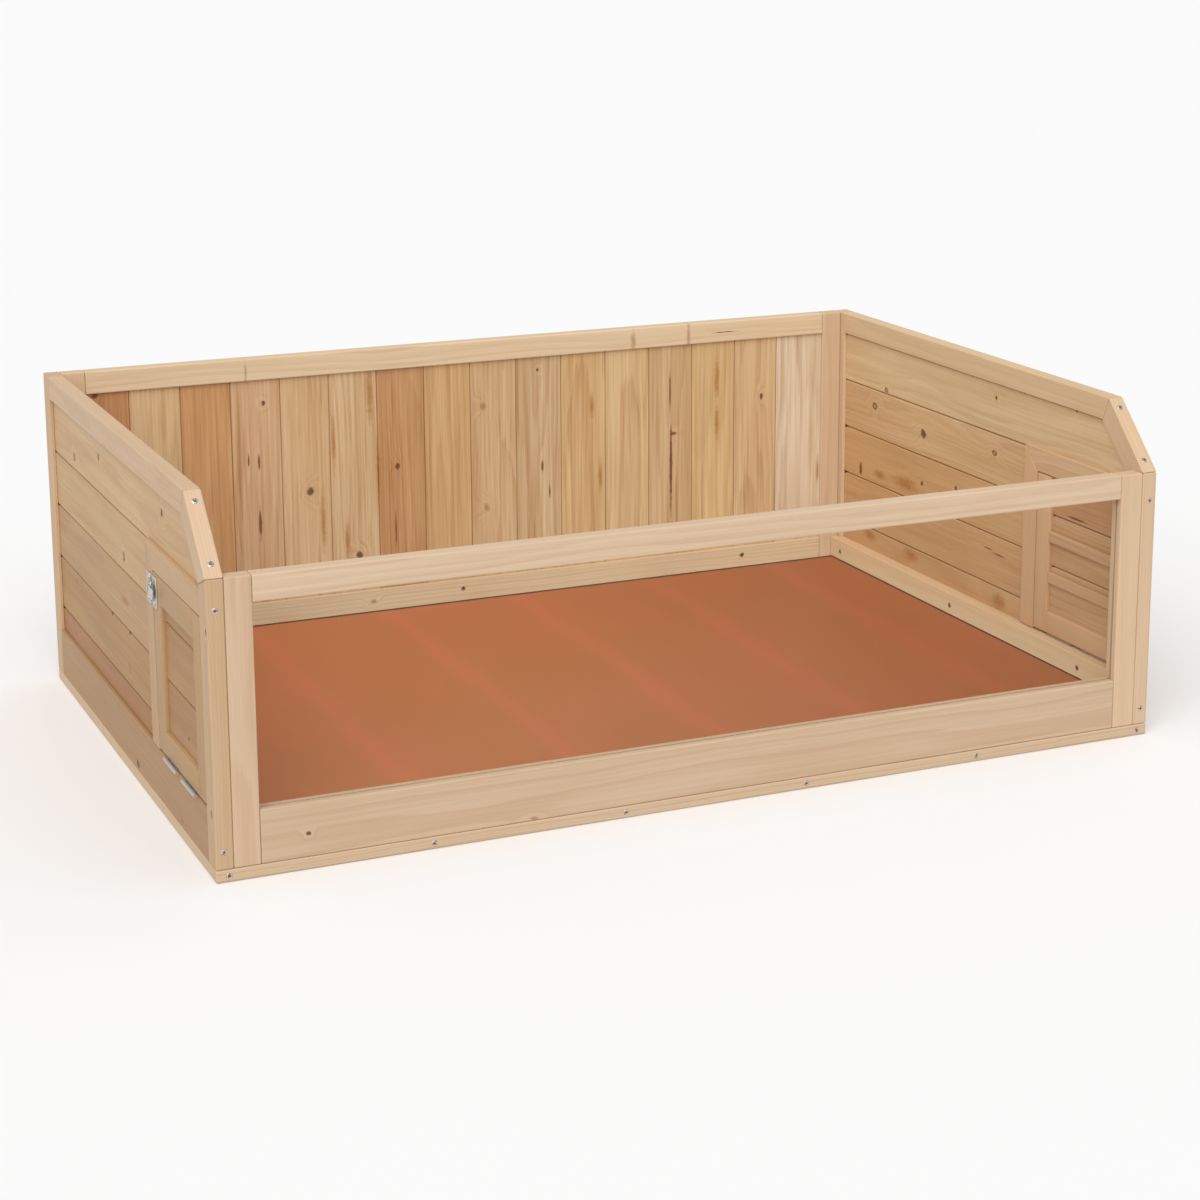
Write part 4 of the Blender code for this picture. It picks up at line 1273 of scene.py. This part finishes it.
@dataclass
class ScrewHeads:
    """Countersunk screws with cross recesses, each head just proud of the wood."""

    radius: float = 0.0040
    dome: float = 0.0007
    slot_long: float = 0.0044
    slot_wide: float = 0.0011
    sides: int = 24
    rings: tuple[Point2, ...] = ((1.0, -0.35), (1.0, 0.25), (0.90, 0.62), (0.66, 0.88), (0.40, 1.0))
    frame_size: float = 1.12
    smooth_below: float = 38.0
    batten_spots: tuple[float, ...] = (-0.732, -0.439, -0.146, 0.146, 0.439, 0.732)
    batten_height: float = 0.0088
    stile_spot: float = 0.738
    stile_heights: Point2 = (0.381, 0.044)
    chamfer_spot: float = 0.737
    chamfer_depths: Point2 = (0.016, 0.086)
    cleat_depths: tuple[float, ...] = (0.137, 0.536, 0.936)
    cleat_height: float = 0.075
    cleat_face: float = 0.0153
    rail_spots: tuple[float, ...] = (-0.580, -0.032, 0.522)
    rail_height: float = 0.080
    rail_face: float = 0.025
    rear_heights: tuple[float, ...] = (0.480, 0.265, 0.050)

    def shape(self) -> bpy.types.Object:
        """One screw head about the origin, facing +Z, with its recess marked for the plating."""
        form = bmesh.new()
        loops = [[form.verts.new((*point, self.dome * height))
                  for point in circle((0.0, 0.0), self.radius * share, self.sides)]
                 for share, height in self.rings]
        skin(form, loops)
        form.faces.new(list(reversed(loops[0])))
        form.faces.new(loops[-1])
        thing = link(mesh_of(form, "screw_shape"), "screw_shape")
        made = cut_away(thing, self.cross(), "screw_head_shape")
        layer = made.data.attributes.new("recess", "FLOAT", "POINT")
        floor = self.dome * 0.2
        marks = []
        for vertex in made.data.vertices:
            near = max(abs(vertex.co.x), abs(vertex.co.y)) < self.slot_long * 0.75
            marks.append(1.0 if near and vertex.co.z < floor + 0.0001 else 0.0)
        layer.data.foreach_set("value", marks)
        made.data.shade_smooth()
        made.data.set_sharp_from_angle(angle=math.radians(self.smooth_below))
        return made

    def cross(self) -> bpy.types.Object:
        """The cutter of a cross recess, a plus-shaped prism."""
        long, wide = self.slot_long / 2, self.slot_wide / 2
        outline = [(long, -wide), (long, wide), (wide, wide), (wide, long), (-wide, long),
                   (-wide, wide), (-long, wide), (-long, -wide), (-wide, -wide), (-wide, -long),
                   (wide, -long), (wide, -wide)]
        return link(prism("cross_cutter", outline, self.dome * 0.15, self.dome * 3), "cross_cutter")

    def build(self, name: str, body: str, points: Sequence[tuple[Sequence[float], Sequence[float]]],
              size: float = 1.0, seed: int = 3) -> bpy.types.Object:
        """Set screw heads on points.

        Args:
            name: The piece's name.
            body: The body that the screws ride on.
            points: Each screw's place and the way it faces.
            size: The heads' size, as a share of this class's own.
            seed: Sets how each head is turned.

        Returns:
            The screws as one piece.
        """
        mesh = bpy.data.meshes.new(name + "_points")
        mesh.from_pydata([place for place, _ in points], [], [])
        layer = mesh.attributes.new("facing", "FLOAT_VECTOR", "POINT")
        layer.data.foreach_set("vector", [part for _, facing in points for part in facing])
        thing = link(mesh, name + "_points")
        shape = bpy.data.objects.get("screw_head_shape") or self.shape()
        shape.hide_render = True
        run_tree(thing, screws_tree(), {"Shape": shape, "Size": size, "Seed": seed,
                                        "Finish": ZINC.material()})
        made = plain_mesh(thing, name)
        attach(made, body)
        return made

    def build_all(self) -> None:
        """Set every screw of the frame."""
        front, ahead, behind = -HALF_DEPTH, (0.0, -1.0, 0.0), (0.0, 1.0, 0.0)
        slope = tuple(Vector((0, -1, 1)).normalized())
        points = [((x, front, self.batten_height), ahead) for x in self.batten_spots]
        for side in Side:
            points += [((side.value * self.stile_spot, front, z), ahead)
                       for z in self.stile_heights]
            chamfer_x = side.value * self.chamfer_spot
            points += [((chamfer_x, front + depth, FRONT_HEIGHT + depth), slope)
                       for depth in self.chamfer_depths]
            cleat_x = side.value * (INNER_HALF_WIDTH - self.cleat_face)
            inward = (-float(side.value), 0.0, 0.0)
            points += [((cleat_x, front + depth, self.cleat_height), inward)
                       for depth in self.cleat_depths]
        points += [((x, HALF_DEPTH - self.rail_face, self.rail_height), ahead)
                   for x in self.rail_spots]
        for side in Side:
            points += [((side.value * self.stile_spot, HALF_DEPTH, z), behind)
                       for z in self.rear_heights]
        points += [((x, HALF_DEPTH, self.batten_height), behind) for x in self.batten_spots]
        self.build("frame_screws", "root", points, self.frame_size)
        LOG.info("frame screws set: %d", len(points))


@dataclass
class Hinges:
    """One door's two hinges, as the frame has them."""

    side: Side

    def dress(self) -> None:
        """Give the hinges their plating."""
        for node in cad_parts:
            if node.startswith(self.side.word) and "hinge" in node:
                dress(node, NICKEL.material())
        LOG.info("%s hinges dressed", self.side.word)


def rounded_box(low: Point2, high: Point2, corner: float, steps: int = 6) -> list[Point2]:
    """The outline of a rectangle with rounded corners, anticlockwise."""
    middles = ((high[0] - corner, low[1] + corner, -90), (high[0] - corner, high[1] - corner, 0),
               (low[0] + corner, high[1] - corner, 90), (low[0] + corner, low[1] + corner, 180))
    outline = []
    for across, along, first in middles:
        for step in range(steps + 1):
            turn = math.radians(first + 90 * step / steps)
            outline.append((across + corner * math.cos(turn), along + corner * math.sin(turn)))
    return outline


def stamping(outlines: Sequence[Sequence[Point2]], thick: float, edge: float,
             place: Matrix) -> bpy.types.Object:
    """Sheet cut to an outline, with holes and softened edges.

    Args:
        outlines: The outline, then the outline of each hole.
        thick: The sheet's thickness, half of it on each side of its own plane.
        edge: How far its edges are rounded.
        place: Where the sheet's own space stands.

    Returns:
        The stamping as a mesh object.
    """
    curve = bpy.data.curves.new("stamping", "CURVE")
    curve.dimensions, curve.fill_mode = "2D", "BOTH"
    curve.extrude, curve.bevel_depth, curve.offset = thick / 2 - edge, edge, -edge
    curve.bevel_resolution = 1
    for outline in outlines:
        spline = curve.splines.new("POLY")
        spline.points.add(len(outline) - 1)
        for point, (x, y) in zip(spline.points, outline):
            point.co = (x, y, 0.0, 1.0)
        spline.use_cyclic_u = True
    made = plain_mesh(link(curve, "stamping"), "stamping")
    made.data.transform(place)
    bpy.data.curves.remove(curve)
    return made


def turned(profile: Sequence[Point2], place: Matrix, sides: int = 20) -> bpy.types.Object:
    """A round shape turned about its own z axis.

    Args:
        profile: Radius and height of each ring, from the low end to the high end.
        place: Where the shape's own space stands.
        sides: How many faces go round it.

    Returns:
        The closed shape as a mesh object.
    """
    form = bmesh.new()
    rings = [[form.verts.new((*point, height)) for point in circle((0.0, 0.0), radius, sides)]
             for radius, height in profile]
    skin(form, rings)
    form.faces.new(rings[0])
    form.faces.new(rings[-1])
    bmesh.ops.transform(form, matrix=place, verts=form.verts)
    return link(mesh_of(form, "turned"), "turned")


@dataclass
class Latch:
    """A draw latch of plated stamped sheet: base, lever, wire loop and strike.

    It is made in its own space: depth behind the front, height from its middle, and distance out
    from the wall's face.
    """

    side: Side
    height: float = 0.3365
    gap: float = 0.0003
    sheet: float = 0.0012
    edge: float = 0.00025
    corner: float = 0.0040
    half_high: float = 0.0230
    base_span: Point2 = (0.2670, 0.2930)
    strike_span: Point2 = (0.2995, 0.3230)
    pivot: Point2 = (0.2890, 0.0050)
    loop_hinge: Point2 = (0.2825, 0.0054)
    loop_end: Point2 = (0.3080, 0.0034)
    loop_half: float = 0.0150
    wire: float = 0.0008
    base_screw: Point2 = (0.2748, 0.0172)
    strike_screw: Point2 = (0.3168, 0.0172)
    screw_size: float = 0.74
    screw_hole: float = 0.0019
    bead_inset: float = 0.0016
    bead_wide: float = 0.0010
    bead_rise: float = 0.0004
    ear_top: float = 0.0080
    ear_radius: float = 0.0035
    ear_height: float = 0.0116
    plate_out: float = 0.0070
    rib_height: float = 0.0042
    rib_half: float = 0.0006
    cheek_height: float = 0.0091
    barrel_radius: float = 0.0024
    barrel_half: float = 0.0100
    roll_half: float = 0.0046
    pin_radius: float = 0.0012
    pin_half: float = 0.0125
    pin_end: float = 0.0135
    lip_depth: float = 0.3048
    lip_top: float = 0.0062
    lip_half: float = 0.0100
    dirt: float = 0.75
    smooth_below: float = 35.0

    @staticmethod
    def edgeways(height: float) -> Matrix:
        """The place of a stamping that stands out from the wall, level, at a height."""
        return Matrix(((1, 0, 0, 0), (0, 0, 1, height), (0, 1, 0, 0), (0, 0, 0, 1)))

    @staticmethod
    def flat(out: float) -> Matrix:
        """The place of a stamping that lies against the wall."""
        return Matrix.Translation((0, 0, out))

    def finish_piece(self, parts: Sequence[bpy.types.Object], node: str,
                     body: str) -> bpy.types.Object:
        """Join shapes into one plated piece that takes the place of a node of the frame.

        Args:
            parts: The shapes, in the latch's own space.
            node: The end of the frame node's name.
            body: The body that the piece rides on.

        Returns:
            The finished piece.
        """
        sign, word = self.side.value, self.side.word
        form = bmesh.new()
        for part in parts:
            form.from_mesh(part.data)
            old = part.data
            bpy.data.objects.remove(part, do_unlink=True)
            bpy.data.meshes.remove(old)
        bmesh.ops.remove_doubles(form, verts=form.verts, dist=0.00001)
        outs = [vertex.co.z for vertex in form.verts]
        place = Matrix(((0, 0, sign, sign * HALF_WIDTH), (1, 0, 0, -HALF_DEPTH),
                        (0, 1, 0, self.height), (0, 0, 0, 1)))
        bmesh.ops.transform(form, matrix=place, verts=form.verts)
        bmesh.ops.recalc_face_normals(form, faces=form.faces)
        made = link(mesh_of(form, f"{word}_{node}_detail"), f"{word}_{node}_detail")
        layer = made.data.attributes.new("recess", "FLOAT", "POINT")
        low, high = self.gap + self.sheet, self.gap + 2 * self.sheet
        layer.data.foreach_set("value", [
            self.dirt * min(1.0, max(0.0, (high - out) / (high - low))) for out in outs])
        made.data.shade_smooth()
        made.data.set_sharp_from_angle(angle=math.radians(self.smooth_below))
        made.data.materials.append(NICKEL.material())
        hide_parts(f"{word}_{node}")
        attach(made, body)
        return made

    def plate(self, span: Point2, screw: Point2) -> list[bpy.types.Object]:
        """A plate with two countersunk holes and a raised bead inside its edge."""
        low, high = (span[0], -self.half_high), (span[1], self.half_high)
        holes = [circle((screw[0], sign * screw[1]), self.screw_hole) for sign in (-1, 1)]
        sheet = stamping([rounded_box(low, high, self.corner), *holes], self.sheet, self.edge,
                         self.flat(self.gap + self.sheet / 2))
        inset, wide, rise = self.bead_inset, self.bead_wide, self.bead_rise
        outer = rounded_box((low[0] + inset, low[1] + inset),
                            (high[0] - inset, high[1] - inset), 0.0028)
        inner = rounded_box((low[0] + inset + wide, low[1] + inset + wide),
                            (high[0] - inset - wide, high[1] - inset - wide), 0.0019)
        bead = stamping([outer, inner], rise * 2, rise * 0.4, self.flat(self.gap + self.sheet))
        return [sheet, bead]

    def build_base(self) -> None:
        """The base plate and the two ears that hold the pivot."""
        parts = self.plate(self.base_span, self.base_screw)
        round_off, foot = self.ear_radius, self.gap + self.sheet * 0.6
        across, out = self.pivot[0], self.ear_top - round_off
        arc = [math.radians(180 * step / 14) for step in range(15)]
        ear = [(across + round_off * math.cos(turn), out + round_off * math.sin(turn))
               for turn in arc]
        ear += [(across - round_off, foot), (across + round_off, foot)]
        for sign in (-1, 1):
            parts.append(stamping([ear, circle(self.pivot, 0.0015)], self.sheet, self.edge,
                                  self.edgeways(sign * self.ear_height)))
        self.finish_piece(parts, "latch_base", f"{self.side.word}_door")

    def build_lever(self) -> None:
        """The lever: a waisted plate with ribs, a rolled barrel, cheeks, a rivet and the pin."""
        across, out = self.pivot
        tip, half, waist = 0.2660, 0.0098, 0.0076
        rows = [(across, half), (0.2850, half), (0.2815, 0.0092), (0.2780, waist), (0.2740, waist),
                (0.2705, 0.0082), (0.2680, 0.0074), (0.2666, 0.0056), (tip, 0.0028)]
        outline = [(depth, -wide) for depth, wide in reversed(rows)] + rows
        parts = [stamping([outline], self.sheet, self.edge, self.flat(self.plate_out))]
        for sign in (-1, 1):
            middle, half_rib = sign * self.rib_height, self.rib_half
            rib = rounded_box((0.2695, middle - half_rib), (0.2855, middle + half_rib), 0.0005)
            parts.append(stamping([rib], 0.0008, 0.00018, self.flat(0.0076)))
            cheek = [(0.2790, 0.0070), (0.2806, 0.0044), (0.2818, 0.0036), (0.2834, 0.0036),
                     (0.2848, 0.0048), (0.2862, 0.0070)]
            eye = circle(self.loop_hinge, self.wire + 0.00035, 14)
            parts.append(stamping([cheek, eye], self.sheet, self.edge,
                                  self.edgeways(sign * self.cheek_height)))
        barrel = [circle(self.pivot, self.barrel_radius, 28), circle(self.pivot, 0.0014, 20)]
        parts.append(stamping(barrel, 2 * self.barrel_half, self.edge, self.edgeways(0.0)))
        roll = circle((tip + 0.0012, 0.0072), 0.0008, 14)
        parts.append(stamping([roll], 2 * self.roll_half, self.edge, self.edgeways(0.0)))
        pin, head, neck, end = self.pin_radius, 0.0019, self.pin_half, self.pin_end
        profile = [(0.0009, -end), (0.0016, -end + 0.0003), (head, -end + 0.0007), (head, -neck),
                   (pin, -neck), (pin, neck), (head, neck), (head, end - 0.0007),
                   (0.0016, end - 0.0003), (0.0009, end)]
        upright = Matrix(((1, 0, 0, across), (0, 0, -1, 0), (0, 1, 0, out), (0, 0, 0, 1)))
        parts.append(turned(profile, upright))
        rivet = [(0.0018, -0.0006), (0.0018, 0.0), (0.0015, 0.00022), (0.0009, 0.00036),
                 (0.0003, 0.0004)]
        parts.append(turned(rivet, Matrix.Translation((0.2762, 0.0, 0.0076))))
        self.finish_piece(parts, "latch_lever", f"{self.side.word}_latch_lever")

    def build_loop(self) -> None:
        """The closed loop of round wire that draws the latch shut."""
        (near, start), (far, end) = self.loop_hinge, self.loop_end
        curve = bpy.data.curves.new("wire", "CURVE")
        curve.dimensions = "3D"
        curve.bevel_depth, curve.bevel_resolution = self.wire, 3
        outline = rounded_box((near, -self.loop_half), (far, self.loop_half), 0.0030, 7)
        spline = curve.splines.new("POLY")
        spline.points.add(len(outline) - 1)
        for point, (depth, height) in zip(spline.points, outline):
            point.co = (depth, height, start + (end - start) * (depth - near) / (far - near), 1.0)
        spline.use_cyclic_u = True
        wire = plain_mesh(link(curve, "wire"), "wire")
        bpy.data.curves.remove(curve)
        self.finish_piece([wire], "latch_loop", f"{self.side.word}_latch_loop")

    def build_strike(self) -> None:
        """The strike plate and the lip that the wire catches behind."""
        parts = self.plate(self.strike_span, self.strike_screw)
        foot, top, half = self.gap + self.sheet * 0.6, self.lip_top, self.lip_half
        lip = [(-half, foot), (half, foot), (half, top - 0.0024), (half - 0.0007, top - 0.0010),
               (half - 0.0022, top), (-half + 0.0022, top), (-half + 0.0007, top - 0.0010),
               (-half, top - 0.0024)]
        turn = Matrix(((0, 0, 1, self.lip_depth), (1, 0, 0, 0), (0, 1, 0, 0), (0, 0, 0, 1)))
        parts.append(stamping([lip], self.sheet, self.edge, turn))
        self.finish_piece(parts, "latch_strike", "root")

    def build_screws(self) -> None:
        """The small screws of the base plate and of the strike."""
        sign, word = self.side.value, self.side.word
        facing = (float(sign), 0.0, 0.0)
        for label, body, (depth, rise) in (("base", f"{word}_door", self.base_screw),
                                           ("strike", "root", self.strike_screw)):
            points = [((sign * (HALF_WIDTH + self.gap + self.sheet), depth - HALF_DEPTH,
                        self.height + up * rise), facing) for up in (-1, 1)]
            ScrewHeads().build(f"{word}_latch_{label}_screws", body, points, self.screw_size, 7)

    def build(self) -> None:
        """Make the whole latch."""
        self.build_base()
        self.build_lever()
        self.build_loop()
        self.build_strike()
        self.build_screws()
        LOG.info("%s latch built", self.side.word)


@dataclass
class Studio:
    """A plain pale floor, soft light and the camera.

    The camera's focal length and middle are given in steps of the frame's side.
    """

    focal_steps: float = 2605.4
    frame_steps: float = 1200.0
    middle: Point2 = (648.0, 456.0)
    azimuth: float = 24.376
    elevation: float = 12.852
    roll: float = -0.033
    stand: tuple[float, float, float] = (-1.5798, -3.7399, 1.3429)
    sensor: float = 36.0
    floor_half: float = 45.0
    floor_drop: float = 0.0006
    floor_colour: Colour = (0.93, 0.93, 0.93, 1.0)
    room_light: float = 0.63
    sun_light: float = 1.95
    sun_spread: float = 60.0
    sun_from: tuple[float, float, float] = (-0.39, -0.63, 0.67)

    def build(self) -> None:
        """Make the floor, the lights and the camera."""
        self.make_floor()
        self.make_light()
        self.make_camera()
        view = bpy.context.scene.view_settings
        view.view_transform = "Standard"
        view.look = "None"
        LOG.info("studio ready")

    def make_floor(self) -> None:
        """A wide matt white floor at the hutch's feet."""
        form = bmesh.new()
        bmesh.ops.create_grid(form, x_segments=1, y_segments=1, size=self.floor_half)
        floor = link(mesh_of(form, "studio_floor"), "studio_floor")
        floor.data.transform(Matrix.Translation((0, 0, -self.floor_drop)))
        made, _, shader = new_material("studio_floor")
        shader.inputs["Base Color"].default_value = self.floor_colour
        shader.inputs["Roughness"].default_value = 0.9
        shader.inputs["Specular IOR Level"].default_value = 0.1
        floor.data.materials.append(made)
        floor.visible_diffuse = False

    def make_light(self) -> None:
        """Even light all round and one broad soft sun from the front and above."""
        world = bpy.data.worlds.new("soft_room")
        bpy.context.scene.world = world
        world.use_nodes = True
        sky = world.node_tree.nodes["Background"]
        sky.inputs["Color"].default_value = WHITE
        sky.inputs["Strength"].default_value = self.room_light
        light = bpy.data.lights.new("key_light", "SUN")
        light.energy = self.sun_light
        light.angle = math.radians(self.sun_spread)
        lamp = bpy.data.objects.new("key_light", light)
        bpy.context.scene.collection.objects.link(lamp)
        lamp.rotation_euler = Vector(self.sun_from).to_track_quat("Z", "Y").to_euler()

    def make_camera(self) -> None:
        """The camera, set from its bearing, height and place."""
        data = bpy.data.cameras.new("camera")
        data.sensor_width = self.sensor
        data.lens = self.focal_steps / self.frame_steps * data.sensor_width
        half = self.frame_steps / 2
        data.shift_x = (half - self.middle[0]) / self.frame_steps
        data.shift_y = (self.middle[1] - half) / self.frame_steps
        data.clip_start, data.clip_end = 0.05, 200.0
        bearing, fall, roll = map(math.radians, (self.azimuth, self.elevation, self.roll))
        ahead = Vector((math.sin(bearing) * math.cos(fall), math.cos(bearing) * math.cos(fall),
                        -math.sin(fall)))
        level = Vector((math.cos(bearing), -math.sin(bearing), 0.0))
        top = level.cross(ahead)
        right = level * math.cos(roll) + top * math.sin(roll)
        up = top * math.cos(roll) - level * math.sin(roll)
        camera = bpy.data.objects.new("camera", data)
        bpy.context.scene.collection.objects.link(camera)
        camera.matrix_world = Matrix((right, up, -ahead)).transposed().to_4x4()
        camera.location = self.stand
        bpy.context.scene.camera = camera


def main() -> None:
    """Build every sub-assembly in order."""
    logging.basicConfig(level=logging.INFO, format="%(name)s: %(message)s")
    Studio().build()
    BaseLadder().dress()
    FrontPanel().dress()
    back = BackPanel()
    back.build()
    back.dress()
    for side in Side:
        panel = SidePanel(side)
        panel.build()
        panel.dress()
        RampDoor(side).build()
        Hinges(side).dress()
        Latch(side).build()
    ScrewHeads().build_all()
    shape = bpy.data.objects.get("screw_head_shape")
    if shape:
        bpy.data.objects.remove(shape, do_unlink=True)


if __name__ == "__main__":
    main()
